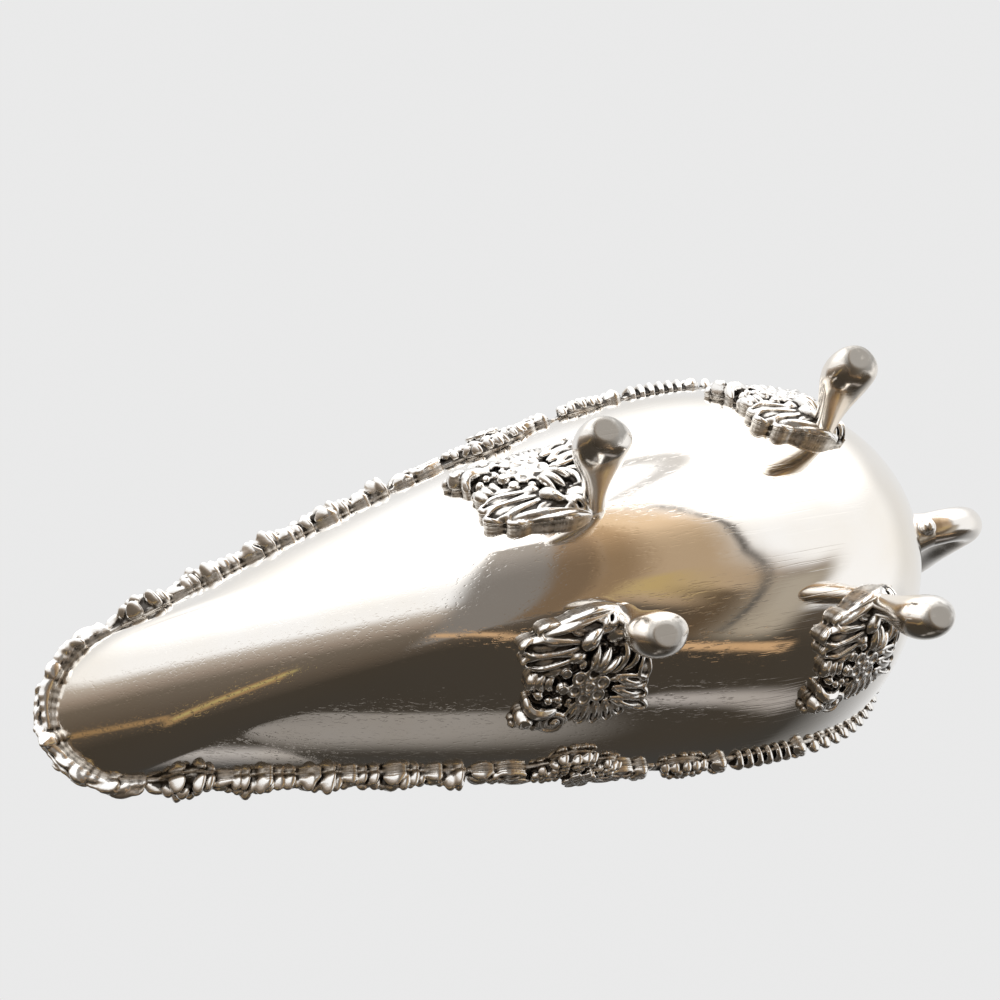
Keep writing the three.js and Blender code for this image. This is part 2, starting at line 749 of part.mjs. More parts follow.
function makeHandle() {
  return seated([handleBar(0)]);
}

// A trumpet foot that spreads the handle's lower end onto the bowl, with a bead on each side
function makeHandleRoot() {
  const line = handleLine();
  const length = line.getLength();
  const thin = HANDLE_BAR + 2 * (JOINT_GAP + HANDLE_ROOT_WALL);
  const start = HANDLE_ROOT_LENGTH / 4;
  const stops = [0, 0.2, 0.4, 0.7, 1].map((part) => {
    const at = (start + (HANDLE_ROOT_LENGTH + start) * part) / length;
    const width = thin + (HANDLE_ROOT_WIDTH - thin) * (1 - part) ** 2;
    return { centre: line.getPointAt(at), way: line.getTangentAt(at), across: TO_RIGHT, width };
  });
  const beads = [-1, 1].map((side) => {
    const bead = berry(0, 0, BERRY_RADIUS, 0);
    const at = stops[2].centre.clone().addScaledVector(TO_RIGHT, side * stops[2].width / 2);
    return bead.translate(at.x, at.y, at.z);
  });
  return seated([bar(stops), ...beads]).subtract(handleRoom);
}

// A leaf over the rim that holds the handle's upper end, its lobes spread down the bowl
function makeHandleLeaf() {
  const from = HALF_RIM - LEAF_WIDTH / 2 + JOINT_GAP / 2;
  const to = HALF_RIM + LEAF_WIDTH / 2 - JOINT_GAP / 2;
  const drop = (part) => BORDER_DEPTH + (LEAF_DROP * 0.75 - BORDER_DEPTH) * Math.sin(Math.PI * part) ** 2;
  const lobes = fan({
    x: HALF_RIM,
    y: BORDER_MIDDLE,
    leaves: 5,
    from: Math.PI * 0.12,
    to: Math.PI * 0.88,
    start: LEAF_WIDTH * 0.09,
    length: LEAF_WIDTH * 0.39,
    width: LEAF_WIDTH * 0.23,
    proud: LEAF_PROUD,
  });
  return seated([band(from, to, drop), ...onRim(lobes)]).subtract(handleRoom);
}

// The whole boat

const boat = new THREE.Group();

function addPiece(name, geometry, { color, roughness }) {
  const material = new THREE.MeshStandardMaterial({ color, roughness, metalness: 1 });
  const mesh = new THREE.Mesh(geometry, material);
  mesh.name = name;
  boat.add(mesh);
}

function addPair(name, solid, finish) {
  const right = geometryOf(solid);
  addPiece(`${name}_right`, right, finish);
  addPiece(`${name}_left`, mirrored(right), finish);
}

const polished = { color: 0xe2dcd2, roughness: 0.16 };
const worn = { color: 0xd6cfc4, roughness: 0.24 };
const chased = { color: 0xb4ada2, roughness: 0.34 };

addPiece('bowl', makeBowl(), polished);

addPiece('lip_border', geometryOf(makeLipBorder()), chased);
addPair('front_border', makeFrontBorder(), chased);
addPair('side_spray', makeSideSpray(), chased);
addPair('rear_border', makeRearBorder(), chased);

const feet = [
  { name: 'front', x: SPOUT_X + FRONT_FOOT_FROM_SPOUT, spread: FRONT_FOOT_SPREAD, rake: FRONT_LEG_RAKE },
  { name: 'rear', x: SPOUT_X + REAR_FOOT_FROM_SPOUT, spread: REAR_FOOT_SPREAD, rake: REAR_LEG_RAKE },
];
for (const foot of feet) {
  addPair(`${foot.name}_knee`, makeKnee(foot), chased);
  addPair(`${foot.name}_leg`, makeLeg(foot), worn);
}

addPiece('handle', geometryOf(makeHandle()), worn);
addPiece('handle_root', geometryOf(makeHandleRoot()), worn);
addPiece('handle_leaf', geometryOf(makeHandleLeaf()), chased);

export default boat;
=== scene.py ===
import json
import math
import bpy
import numpy as np
from mathutils import Matrix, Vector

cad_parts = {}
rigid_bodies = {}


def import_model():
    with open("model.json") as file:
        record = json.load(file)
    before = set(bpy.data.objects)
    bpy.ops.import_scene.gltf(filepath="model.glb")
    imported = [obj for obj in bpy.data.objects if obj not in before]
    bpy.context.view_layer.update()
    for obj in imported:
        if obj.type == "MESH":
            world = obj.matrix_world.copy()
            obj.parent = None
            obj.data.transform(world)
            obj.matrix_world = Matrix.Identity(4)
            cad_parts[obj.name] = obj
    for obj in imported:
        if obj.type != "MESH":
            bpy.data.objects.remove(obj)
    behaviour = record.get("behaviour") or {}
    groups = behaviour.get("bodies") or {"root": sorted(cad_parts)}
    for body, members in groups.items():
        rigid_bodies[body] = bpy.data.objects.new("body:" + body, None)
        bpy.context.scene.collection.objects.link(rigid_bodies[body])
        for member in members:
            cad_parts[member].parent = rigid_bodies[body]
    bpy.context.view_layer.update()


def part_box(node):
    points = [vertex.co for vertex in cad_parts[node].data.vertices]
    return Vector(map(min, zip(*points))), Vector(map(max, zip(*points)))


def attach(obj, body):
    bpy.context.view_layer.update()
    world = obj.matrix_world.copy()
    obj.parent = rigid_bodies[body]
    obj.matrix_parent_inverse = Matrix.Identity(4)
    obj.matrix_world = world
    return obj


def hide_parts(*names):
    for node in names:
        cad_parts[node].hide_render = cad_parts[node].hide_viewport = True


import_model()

MM = 0.001


# Bowl
# One sheet of silver, raised by hammer over stakes to the long boat shape, planished and
# polished inside and out. The rim is left at the sheet's own thickness under the border.

BOWL_LENGTH = 213
BOWL_HALF_WIDTH = 44.3
WIDEST_FROM_SPOUT = 150
LIP_HALF_WIDTH = 12.8
LIP_ROUND = 11.3
TAPER_SOFTNESS = 0.25
REAR_FULLNESS = 2.6
WALL = 1.2
RIM_ROUNDING = 0.35
BOTTOM_HEIGHT = 17.8
BOTTOM_FROM_SPOUT = 160
SPOUT_HEIGHT = 101
LOW_RIM_HEIGHT = 58.5
LOW_RIM_FROM_SPOUT = 147
REAR_HEIGHT = 90
SPOUT_SECTION = (2.53, 1.48)
SIDE_SECTION = (2.0, 1.1)
REAR_SECTION = (2.3, 1.63)
LIP_CORNER_EASE = 0.22

SPOUT_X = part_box("bowl")[0].x / MM
REAR_X = SPOUT_X + BOWL_LENGTH
WIDEST_X = SPOUT_X + WIDEST_FROM_SPOUT
LOW_RIM_X = SPOUT_X + LOW_RIM_FROM_SPOUT
BOTTOM_X = SPOUT_X + BOTTOM_FROM_SPOUT


def rim_point(turn):
    x = SPOUT_X + BOWL_LENGTH * (1 - np.cos(np.pi * turn)) / 2
    back = np.clip((x - WIDEST_X) / (REAR_X - WIDEST_X), 0, 1)
    rear = BOWL_HALF_WIDTH * np.sqrt(1 - back ** REAR_FULLNESS)
    ahead = np.clip((WIDEST_X - x) / (WIDEST_X - SPOUT_X), 0, 1)
    soft = TAPER_SOFTNESS
    taper = (np.hypot(ahead, soft) - soft) / (np.hypot(1, soft) - soft)
    lip = np.clip(1 - (x - SPOUT_X) / LIP_ROUND, 0, 1)
    front = (BOWL_HALF_WIDTH - (BOWL_HALF_WIDTH - LIP_HALF_WIDTH) * taper) * np.sqrt(1 - lip * lip)
    y = np.where(x >= WIDEST_X, rear, front) * np.where(np.sin(np.pi * turn) < 0, -1, 1)
    to_rear = (x - LOW_RIM_X) / (REAR_X - LOW_RIM_X)
    to_spout = (LOW_RIM_X - x) / (LOW_RIM_X - SPOUT_X)
    rise = np.where(
        x >= LOW_RIM_X,
        (REAR_HEIGHT - LOW_RIM_HEIGHT) * to_rear ** 2,
        (SPOUT_HEIGHT - LOW_RIM_HEIGHT) * to_spout ** 2,
    )
    return np.stack([x, y, LOW_RIM_HEIGHT + rise], -1)


def bowl_point(turn, fill):
    turn, fill = np.broadcast_arrays(turn, fill)
    # the corners of the lip fade out towards the bottom, as in sheet that is hammered round
    spread = LIP_CORNER_EASE * (1 - fill ** 2) * (1 + np.cos(np.pi * turn)) / 2
    shares = (1, 6, 15, 20, 15, 6, 1)
    rim = sum(share / 64 * rim_point(turn + (k - 3) / 3 * spread) for k, share in enumerate(shares))
    dx = rim[..., 0] - BOTTOM_X
    facing = -dx / np.hypot(dx, rim[..., 1])
    spout = ((1 + facing) / 2) ** 2
    rear = ((1 - facing) / 2) ** 2
    side = 1 - spout - rear
    floor, wall = (SPOUT_SECTION[k] * spout + SIDE_SECTION[k] * side + REAR_SECTION[k] * rear for k in (0, 1))
    rise = 1 - np.clip(1 - fill ** floor, 0, 1) ** (1 / wall)
    z = BOTTOM_HEIGHT + (rim[..., 2] - BOTTOM_HEIGHT) * rise
    return np.stack([BOTTOM_X + dx * fill, rim[..., 1] * fill, z], -1)


def bowl_normal(turn, fill):
    step = 0.002
    near = np.clip(fill, 3 * step, 1 - step)
    along = bowl_point(turn + step, near) - bowl_point(turn - step, near)
    upward = bowl_point(turn, near + step) - bowl_point(turn, near - step)
    normal = np.cross(upward, along)
    return normal / np.linalg.norm(normal, axis=-1, keepdims=True)


def points_of(piece):
    points = np.empty(len(piece.data.vertices) * 3)
    piece.data.vertices.foreach_get("co", points)
    return points.reshape(-1, 3)


def put_points(piece, points):
    piece.data.vertices.foreach_set("co", np.asarray(points, float).ravel())
    piece.data.update()


def apply_modifier(piece, kind, **settings):
    bpy.context.view_layer.objects.active = piece
    modifier = piece.modifiers.new(kind.lower(), kind)
    for key, value in settings.items():
        setattr(modifier, key, value)
    bpy.ops.object.modifier_apply(modifier=modifier.name)


bpy.ops.object.select_all(action="DESELECT")
bpy.ops.mesh.primitive_uv_sphere_add(segments=256, ring_count=128, radius=1)
bowl = bpy.context.object
bowl.name = "raised_bowl"
bpy.ops.object.mode_set(mode="EDIT")
bpy.ops.mesh.bisect(plane_co=(0, 0, 0), plane_no=(0, 0, 1), clear_outer=True)
bpy.ops.object.mode_set(mode="OBJECT")
ball = points_of(bowl)
turn = np.arctan2(ball[:, 1], -ball[:, 0]) / np.pi
fill = np.clip(np.hypot(ball[:, 0], ball[:, 1]), 1e-6, 1)
put_points(bowl, bowl_point(turn, fill) * MM)
bpy.ops.object.mode_set(mode="EDIT")
bpy.ops.mesh.select_all(action="SELECT")
bpy.ops.mesh.normals_make_consistent(inside=False)
bpy.ops.object.mode_set(mode="OBJECT")
apply_modifier(bowl, "SOLIDIFY", thickness=WALL * MM, offset=-1, use_even_offset=False)
apply_modifier(bowl, "BEVEL", width=RIM_ROUNDING * MM, segments=3,
               limit_method="ANGLE", angle_limit=math.radians(50))
bpy.ops.object.shade_smooth()


def connect(tree, node, inputs):
    """Gives each input its value, or links it to the socket given for it."""
    for name, value in inputs.items():
        if isinstance(value, bpy.types.NodeSocket):
            tree.links.new(value, node.inputs[name])
        else:
            node.inputs[name].default_value = value
    return node


def add_node(tree, kind, inputs=None, **settings):
    node = tree.nodes.new("ShaderNode" + kind)
    for name, value in settings.items():
        setattr(node, name, value)
    return connect(tree, node, inputs or {})


def noise(tree, place, scale, detail, roughness=0.5):
    inputs = {"Vector": place, "Scale": scale, "Detail": detail, "Roughness": roughness}
    return add_node(tree, "TexNoise", inputs).outputs["Fac"]


def rescaled(tree, value, low, high, new_low=0, new_high=1, blend="LINEAR"):
    inputs = {"Value": value, "From Min": low, "From Max": high, "To Min": new_low, "To Max": new_high}
    return add_node(tree, "MapRange", inputs, interpolation_type=blend).outputs["Result"]


def mixed(tree, share, first, second, kind="RGBA"):
    inputs = {"Factor": share, "A": first, "B": second}
    return add_node(tree, "Mix", inputs, data_type=kind).outputs["Result"]


def bumped(tree, height, strength, depth, below=None, hollow=False):
    """A surface raised or, where hollow, sunk by a height, on top of the surface below."""
    inputs = {"Height": height, "Strength": strength, "Distance": depth}
    if below:
        inputs["Normal"] = below
    return add_node(tree, "Bump", inputs, invert=hollow).outputs["Normal"]


SCRATCH_DEPTH = 0.00002
SCRATCH_TURNS = ((0.2, 0.3, 0.5), (1.1, 0.2, 2.0), (0.4, 1.3, -0.6))
SCRATCH_STRETCH = (30, 1600, 1600)
HAMMER_DEPTH = 0.0004


def silver(name, color, tarnish, roughness):
    """Silver with drifts of tarnish, an uneven gloss, fine scratches and faint hammer marks."""
    material = bpy.data.materials.new(name)
    material.use_nodes = True
    tree = material.node_tree
    place = add_node(tree, "TexCoord").outputs["Object"]
    tarnished = rescaled(tree, noise(tree, place, 28, 6), 0.42, 0.75)
    tint = mixed(tree, tarnished, (*color, 1), (*tarnish, 1))
    dull = rescaled(tree, noise(tree, place, 90, 8, 0.65), 0.3, 0.75, *roughness)
    surface = None
    for angles in SCRATCH_TURNS:
        stretch = {"Vector": place, "Rotation": angles, "Scale": SCRATCH_STRETCH}
        along = add_node(tree, "Mapping", stretch).outputs["Vector"]
        scratches = rescaled(tree, noise(tree, along, 1, 2), 0.62, 0.72)
        surface = bumped(tree, scratches, 0.35, SCRATCH_DEPTH, surface, hollow=True)
    surface = bumped(tree, noise(tree, place, 45, 1), 0.12, HAMMER_DEPTH, surface)
    finish = {"Metallic": 1, "Base Color": tint, "Roughness": dull, "Normal": surface}
    connect(tree, tree.nodes["Principled BSDF"], finish)
    return material


polished_sheet = silver("polished_silver_sheet", (0.94, 0.91, 0.87), (0.90, 0.84, 0.75), (0.02, 0.12))
bowl.data.materials.append(polished_sheet)
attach(bowl, "root")
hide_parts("bowl")


# Border round the spout's lip
# Cast silver: three twigs twisted round the lip, bound by a knot and ending in leaf tips. It is
# made flat, bent round the rim and soldered to the sheet. Here too each casting is made flat, in
# millimetres, x along it, y down from the rim and z out, and then laid on the bowl.

JOINT_GAP = 0.3
BORDER_DEPTH = 3.4
BORDER_RISE = 0.9
FRONT_FULLNESS = 1.5
SIDE_FULLNESS = 1.25
LIP_BORDER_REACH = 26

turns = np.linspace(0, 1, 2001)
rim_line = rim_point(turns)
rim_distances = np.concatenate([[0], np.cumsum(np.linalg.norm(np.diff(rim_line, axis=0), axis=1))])
HALF_RIM = rim_distances[-1]

GRID_TURNS = np.linspace(-0.02, 1.02, 600)
GRID_DEPTHS = np.linspace(0, 20, 81)
wall_fills = np.cos(np.linspace(0, np.pi / 2, 200))
grid_fills = []
for grid_turn in GRID_TURNS:
    wall_line = bowl_point(grid_turn, wall_fills)
    wall_depths = np.concatenate([[0], np.cumsum(np.linalg.norm(np.diff(wall_line, axis=0), axis=1))])
    grid_fills.append(np.interp(GRID_DEPTHS, wall_depths, wall_fills))
grid_fills = np.array(grid_fills)


def on_wall(points, fullness):
    """Lays a flat casting on the wall: x along the rim, y down from it and z outwards."""
    along, down, out = points.T
    distance = np.abs(along)
    past = distance > HALF_RIM
    turn = np.interp(np.where(past, 2 * HALF_RIM - distance, distance), rim_distances, turns)
    row = (turn - GRID_TURNS[0]) / (GRID_TURNS[1] - GRID_TURNS[0])
    column = np.clip(down, 0, GRID_DEPTHS[-2]) / GRID_DEPTHS[1]
    i, j = row.astype(int), column.astype(int)
    u, v = row - i, column - j
    near = grid_fills[i, j] * (1 - v) + grid_fills[i, j + 1] * v
    far = grid_fills[i + 1, j] * (1 - v) + grid_fills[i + 1, j + 1] * v
    fill = near * (1 - u) + far * u
    turn = np.where(past, 2 - turn, turn) * np.where(along < 0, -1, 1)
    normal = bowl_normal(turn, fill)
    above = down < 0
    level = normal * [1, 1, 0]
    level /= np.linalg.norm(level, axis=-1, keepdims=True)
    normal = np.where(above[:, None], level, normal)
    full = np.where(out > 0, out * fullness, out)
    place = bowl_point(turn, fill) + normal * full[:, None]
    place[:, 2] += np.where(above, -down, 0)
    return place


CASTING_BACK = -0.6


def new_object(name, data):
    thing = bpy.data.objects.new(name, data)
    bpy.context.scene.collection.objects.link(thing)
    return thing


def pod(x, y, length, width, height, turn=0, z=0.5, pear=0, back=CASTING_BACK):
    """A swelling, such as a bud, petal or berry; pear makes its far end the fuller one."""
    copy = new_object("pod", bead.data.copy())
    points = points_of(copy)
    swell = 1 + pear * points[:, 0]
    depth = np.where(points[:, 2] < 0, z - back, height * swell)
    points = points * np.stack([np.full_like(swell, length / 2), width / 2 * swell, depth], -1)
    c, s = math.cos(turn), math.sin(turn)
    points = points @ np.array([[c, s, 0], [-s, c, 0], [0, 0, 1]]) + [x, y, z]
    put_points(copy, points)
    return copy


def strand(path, fineness=2, footed=True):
    """A twig, rib or ring from rows of x, y, z and radius; its foot joins it to the ground."""
    curve = bpy.data.curves.new("strand", "CURVE")
    curve.dimensions = "3D"
    curve.bevel_depth = 1
    curve.bevel_resolution = fineness
    curve.use_fill_caps = True
    lines = [path]
    for share in (1 / 3, 2 / 3, 1) if footed else ():
        lower = [(x, y, z + (CASTING_BACK + radius / 2 - z) * share, radius) for x, y, z, radius in path]
        lines.append(lower)
    for rows in lines:
        spline = curve.splines.new("POLY")
        spline.points.add(len(rows) - 1)
        for point, (x, y, z, radius) in zip(spline.points, rows):
            point.co = (x, y, z, 1)
            point.radius = radius
    return new_object("strand", curve)


def tapered(points, radius, tip=0.25):
    """A smooth line through points, thickest in its middle."""
    points = np.array(points, float)
    steps = np.linspace(0, len(points) - 1, 8 * (len(points) - 1) + 1)
    padded = np.vstack([2 * points[0] - points[1], points, 2 * points[-1] - points[-2]])
    rows = []
    for step in steps:
        k = min(int(step), len(points) - 2)
        t = step - k
        a, b, c, d = padded[k:k + 4]
        bend = 2 * a - 5 * b + 4 * c - d
        twist = 3 * b - a - 3 * c + d
        point = 0.5 * (2 * b + (c - a) * t + bend * t ** 2 + twist * t ** 3)
        share = step / (len(points) - 1)
        rows.append((*point, radius * (tip + (1 - tip) * math.sin(math.pi * share) ** 0.7)))
    return rows


def twig(points, radius, tip=0.25):
    return strand(tapered(points, radius, tip))


def ring(x, y, radius, thickness, z):
    angles = np.linspace(0, 2 * np.pi, 17)
    return strand([(x + radius * math.cos(a), y + radius * math.sin(a), z, thickness) for a in angles])


def drop_rim(x0, y0, x1, y1, width, thickness, z):
    """The raised rim round a drop-shaped lobe, from its stem to its round end."""
    length = math.hypot(x1 - x0, y1 - y0)
    ahead = np.array([x1 - x0, y1 - y0]) / length
    side = np.array([-ahead[1], ahead[0]])
    rows = []
    for angle in np.linspace(0, 2 * np.pi, 25):
        share = (1 - math.cos(angle)) / 2
        reach = width / 2 * math.sin(angle) * (0.35 + 0.65 * share)
        x, y = np.array([x0, y0]) + ahead * share * length + side * reach
        rows.append((x, y, z, thickness))
    return strand(rows)


def lobe(x0, y0, x1, y1, width, height, z, rim=0.36):
    """A hollow-edged lobe of a shell: a full drop with a raised rim."""
    turn = math.atan2(y1 - y0, x1 - x0)
    length = math.hypot(x1 - x0, y1 - y0)
    middle = ((x0 + x1) / 2, (y0 + y1) / 2)
    return [
        pod(*middle, length * 0.86, width * 0.8, height * 0.6, turn, z, pear=0.35),
        drop_rim(x0, y0, x1, y1, width, rim, z + height * 0.6),
    ]


def volute(x, y, radius, turns_round, start, thickness, z=1.1):
    """A scroll that winds inwards, rises and grows thinner."""
    rows = []
    for t in np.linspace(0, 1, int(22 * turns_round)):
        angle = start + 2 * math.pi * turns_round * t
        reach = radius * (1 - 0.82 * t)
        spot = (x + reach * math.cos(angle), y + reach * math.sin(angle), z + 0.5 * t)
        rows.append((*spot, thickness * (1 - 0.45 * t)))
    return strand(rows)


def plate(outline, top, bottom=CASTING_BACK):
    """The thin ground that the relief of a casting stands on."""
    bpy.ops.object.select_all(action="DESELECT")
    mesh = bpy.data.meshes.new("ground")
    mesh.from_pydata([(x, y, bottom) for x, y in outline], [], [list(range(len(outline)))])
    ground = new_object("ground", mesh)
    bpy.context.view_layer.objects.active = ground
    ground.select_set(True)
    bpy.ops.object.mode_set(mode="EDIT")
    bpy.ops.mesh.select_all(action="SELECT")
    bpy.ops.mesh.extrude_region_move(TRANSFORM_OT_translate={"value": (0, 0, top - bottom)})
    bpy.ops.mesh.select_all(action="SELECT")
    bpy.ops.mesh.normals_make_consistent(inside=False)
    bpy.ops.object.mode_set(mode="OBJECT")
    return ground


def smoothed(piece, rounds):
    apply_modifier(piece, "SMOOTH", factor=0.5, iterations=rounds)


def melted(name, forms, voxel):
    """Runs the forms together into one skin, as in a mould."""
    bpy.ops.object.select_all(action="DESELECT")
    for form in forms:
        form.select_set(True)
    bpy.context.view_layer.objects.active = forms[0]
    bpy.ops.object.convert(target="MESH")
    bpy.ops.object.join()
    piece = bpy.context.object
    piece.name = name
    apply_modifier(piece, "REMESH", mode="VOXEL", voxel_size=voxel)

    # only the outer skin is kept, without enclosed hollows and loose bits
    points = points_of(piece)
    outermost = int(np.argmax(points[:, 0]))
    chosen = np.zeros(len(points), bool)
    chosen[outermost] = True
    bpy.ops.object.mode_set(mode="EDIT")
    bpy.ops.mesh.select_mode(type="VERT")
    bpy.ops.mesh.select_all(action="DESELECT")
    bpy.ops.object.mode_set(mode="OBJECT")
    piece.data.vertices.foreach_set("select", chosen)
    bpy.ops.object.mode_set(mode="EDIT")
    bpy.ops.mesh.select_linked()
    bpy.ops.mesh.select_all(action="INVERT")
    bpy.ops.mesh.delete(type="VERT")
    bpy.ops.object.mode_set(mode="OBJECT")

    smoothed(piece, 2)
    return piece


CASTING_VOXEL = 0.2
MAP_CELL = 0.3
MAP_MARGIN = 3
RELIEF_DEPTH = 0.7
SIDE_TOP = 0.25
SIDE_WEAR = 0.32
EDGE_FOOT = 0.2
EDGE_DROP = 0.5


def spread_out(values, rounds):
    """Averages each cell of a map with those round it."""
    near = (-2, -1, 0, 1, 2)
    for _ in range(rounds):
        values = sum(np.roll(values, (a, b), (0, 1)) for a in near for b in near) / len(near) ** 2
    return values


def read_map(values, spots):
    """A map's values between the middles of its cells."""
    i, j = spots.astype(int).T
    u, v = (spots % 1).T
    near = values[i, j] * (1 - v) + values[i, j + 1] * v
    far = values[i + 1, j] * (1 - v) + values[i + 1, j + 1] * v
    return near * (1 - u) + far * u


def casting(name, forms, lift=None):
    """A flat casting, rounded off at its edge, that notes how far each point stands proud."""
    piece = melted(name, forms, CASTING_VOXEL)
    points = points_of(piece)
    spots = (points[:, :2] - points[:, :2].min(0) + MAP_MARGIN) / MAP_CELL
    i, j = spots.astype(int).T
    beyond = round(MAP_MARGIN / MAP_CELL) + 2
    top = np.zeros((i.max() + beyond, j.max() + beyond))
    np.maximum.at(top, (i, j), points[:, 2])
    empty = spread_out(np.where(top == 0, 1.0, 0.0), 2)
    edge = np.clip(2 * read_map(empty, spots - 0.5), 0, 1)
    relief = np.clip(0.5 + (points[:, 2] - spread_out(top, 3)[i, j]) / RELIEF_DEPTH, 0, 1)
    relief = np.where(points[:, 2] < SIDE_TOP, SIDE_WEAR, np.maximum(relief, SIDE_WEAR * edge))
    raised = points[:, 2] > EDGE_FOOT
    points[raised, 2] = EDGE_FOOT + (points[raised, 2] - EDGE_FOOT) * (1 - EDGE_DROP * edge[raised])
    attribute = piece.data.attributes.new("relief", "FLOAT", "POINT")
    attribute.data.foreach_set("value", relief)
    if lift:
        points[:, 2] += lift(points)
    return piece, points


def finish_casting(piece, points, node, material=None):
    put_points(piece, points * MM)
    piece.data.materials.clear()
    piece.data.materials.append(material or oxidised)
    bpy.ops.object.select_all(action="DESELECT")
    piece.select_set(True)
    bpy.context.view_layer.objects.active = piece
    bpy.ops.object.shade_smooth()
    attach(piece, "root")
    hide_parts(node)


def left_copy(piece, name, node):
    """The mirror image of a piece of the right side."""
    copy = new_object(name, piece.data.copy())
    points = points_of(copy) * [1, -1, 1]
    copy.data.flip_normals()
    put_points(copy, points)
    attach(copy, "root")
    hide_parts(node)


bpy.ops.object.select_all(action="DESELECT")
bpy.ops.mesh.primitive_ico_sphere_add(subdivisions=3, radius=1)
bead = bpy.context.object


def calculated(tree, operation, *values):
    return add_node(tree, "Math", dict(enumerate(values)), operation=operation).outputs["Value"]


def ramp(tree, value, stops):
    """A colour ramp through stops of place and colour."""
    node = add_node(tree, "ValToRGB", {"Fac": value})
    elements = node.color_ramp.elements
    for element, (position, color) in zip((elements[0], elements[1]), (stops[0], stops[-1])):
        element.position = position
        element.color = (*color, 1)
    for position, color in stops[1:-1]:
        elements.new(position).color = (*color, 1)
    return node.outputs["Color"]


oxidised = bpy.data.materials.new("oxidised_cast_silver")
oxidised.use_nodes = True
tree = oxidised.node_tree
relief = add_node(tree, "Attribute", attribute_name="relief").outputs["Fac"]
grain = noise(tree, add_node(tree, "TexCoord").outputs["Object"], 900, 4)
worn = calculated(tree, "MULTIPLY_ADD", grain, 0.35, relief)
tones = ((0.32, (0.08, 0.072, 0.064)), (0.46, (0.62, 0.59, 0.55)), (0.6, (0.94, 0.92, 0.89)))
connect(tree, tree.nodes["Principled BSDF"], {
    "Metallic": 1,
    "Base Color": ramp(tree, worn, tones),
    "Roughness": rescaled(tree, worn, 0.4, 0.8, 0.4, 0.15),
    "Normal": bumped(tree, grain, 0.3, 0.0001),
})


def border_ground(start, end, depth=None):
    along = np.linspace(start, end, 40)
    lower = [BORDER_DEPTH - 0.9 + (depth(x) if depth else 0) for x in along]
    return plate([(x, -BORDER_RISE) for x in along] + list(zip(along, lower))[::-1], 0.5)


lip_end = LIP_BORDER_REACH - JOINT_GAP / 2
middle = BORDER_DEPTH / 2 - 0.3
forms = [border_ground(-lip_end, lip_end)]
along = np.linspace(-lip_end, lip_end, 150)
for phase, thickness in ((0, 0.95), (2.3, 0.8), (4.4, 0.7)):
    bark = 0.16 * np.sin(0.7 * along + 3 * phase) + 0.06 * np.sin(3.1 * along + phase)
    wind = along / 6.4 + phase + 0.4 * np.sin(along / 3.7)
    rows = np.stack([along, middle + 1.25 * np.sin(wind), 1.1 + 0.5 * np.cos(wind), thickness + bark], -1)
    forms.append(strand(rows.tolist()))
for k in range(10):
    x = lip_end * (2 * (k + 0.5) / 10 - 1)
    y = middle + 1.3 * math.sin(2.4 * k)
    forms.append(pod(x, y, 4.6 + 1.4 * math.sin(3.1 * k), 1.2, 1.0, 0.25 * math.sin(1.3 * k), 1.4))
forms.append(pod(2.5, BORDER_DEPTH - 0.7, 3.6, 2.8, 1.7, 0.5, 1.4))
forms.append(pod(2.9, BORDER_DEPTH - 0.4, 1.6, 1.4, 0.9, 0.5, 2.5))
forms.append(pod(-0.2, 0.9, 2.4, 2.0, 1.4, 0, 1.3))
for side in (-1, 1):
    forms.append(pod(side * 22, middle, 7, 2.6, 1.4, 0.1 * side, 1.2, pear=-0.3 * side))
    forms.append(pod(side * 18.4, middle + 1.3, 3.4, 1.5, 1.0, 0.5 * side, 1.4))
    forms.append(pod(side * 12, middle + 0.7, 5, 2.2, 1.3, -0.3 * side, 1.4))
    forms.append(pod(side * 8, middle - 1.1, 3.2, 1.6, 1.1, 0.4 * side, 1.5))
lip_border, points = casting("lip_twigs", forms)
finish_casting(lip_border, on_wall(points, FRONT_FULLNESS), "lip_border")


# Borders from the lip to the side sprays
# Cast silver: a bunch of berries, then leaf scrolls with buds between them. One casting a side,
# the left one the mirror image of the right, soldered to the rim.

SPRAY_FROM_SPOUT = 96
CLUSTER_PITCH = 15.4
SCROLL_PITCH = 9.3
BUD_PITCH = 2.1
BERRY_SPACING = 0.78
BERRY_HEIGHT = 0.52
HEAP_HEIGHT = 1.6
HEAP_FALL = 0.09
HEAP_TRIES = 400

start = LIP_BORDER_REACH + JOINT_GAP / 2
end = SPRAY_FROM_SPOUT - JOINT_GAP / 2
middle = BORDER_DEPTH / 2 - 0.2
forms = [border_ground(start, end)]
forms.append(twig([(start, 1.4, 1), (start + 2.4, 0.8, 1.3), (start + 5, 1.6, 1.1)], 1.1, 0.6))


def berry_bunch(x, y, across, down, size, count, seed):
    """Berries heaped on an oval, fullest in the middle; each falls where the heap has room."""
    chance = np.random.RandomState(seed)
    heap = []
    for _ in range(HEAP_TRIES):
        angle = chance.uniform(0, 2 * math.pi)
        reach = math.sqrt(chance.uniform(0, 1))
        px = across / 2 * reach * math.cos(angle)
        py = down / 2 * reach * math.sin(angle)
        if all(math.hypot(px - qx, py - qy) > BERRY_SPACING * size for qx, qy in heap):
            heap.append((px, py))
        if len(heap) == count:
            break
    bunch = [pod(x, y, across, down, 1.1, 0, 0.4)]
    for px, py in heap:
        z = HEAP_HEIGHT - HEAP_FALL * math.hypot(px, py)
        high = size * BERRY_HEIGHT
        bunch.append(pod(x + px, y + py, size, size, high, 0, z, back=z - high))
    return bunch


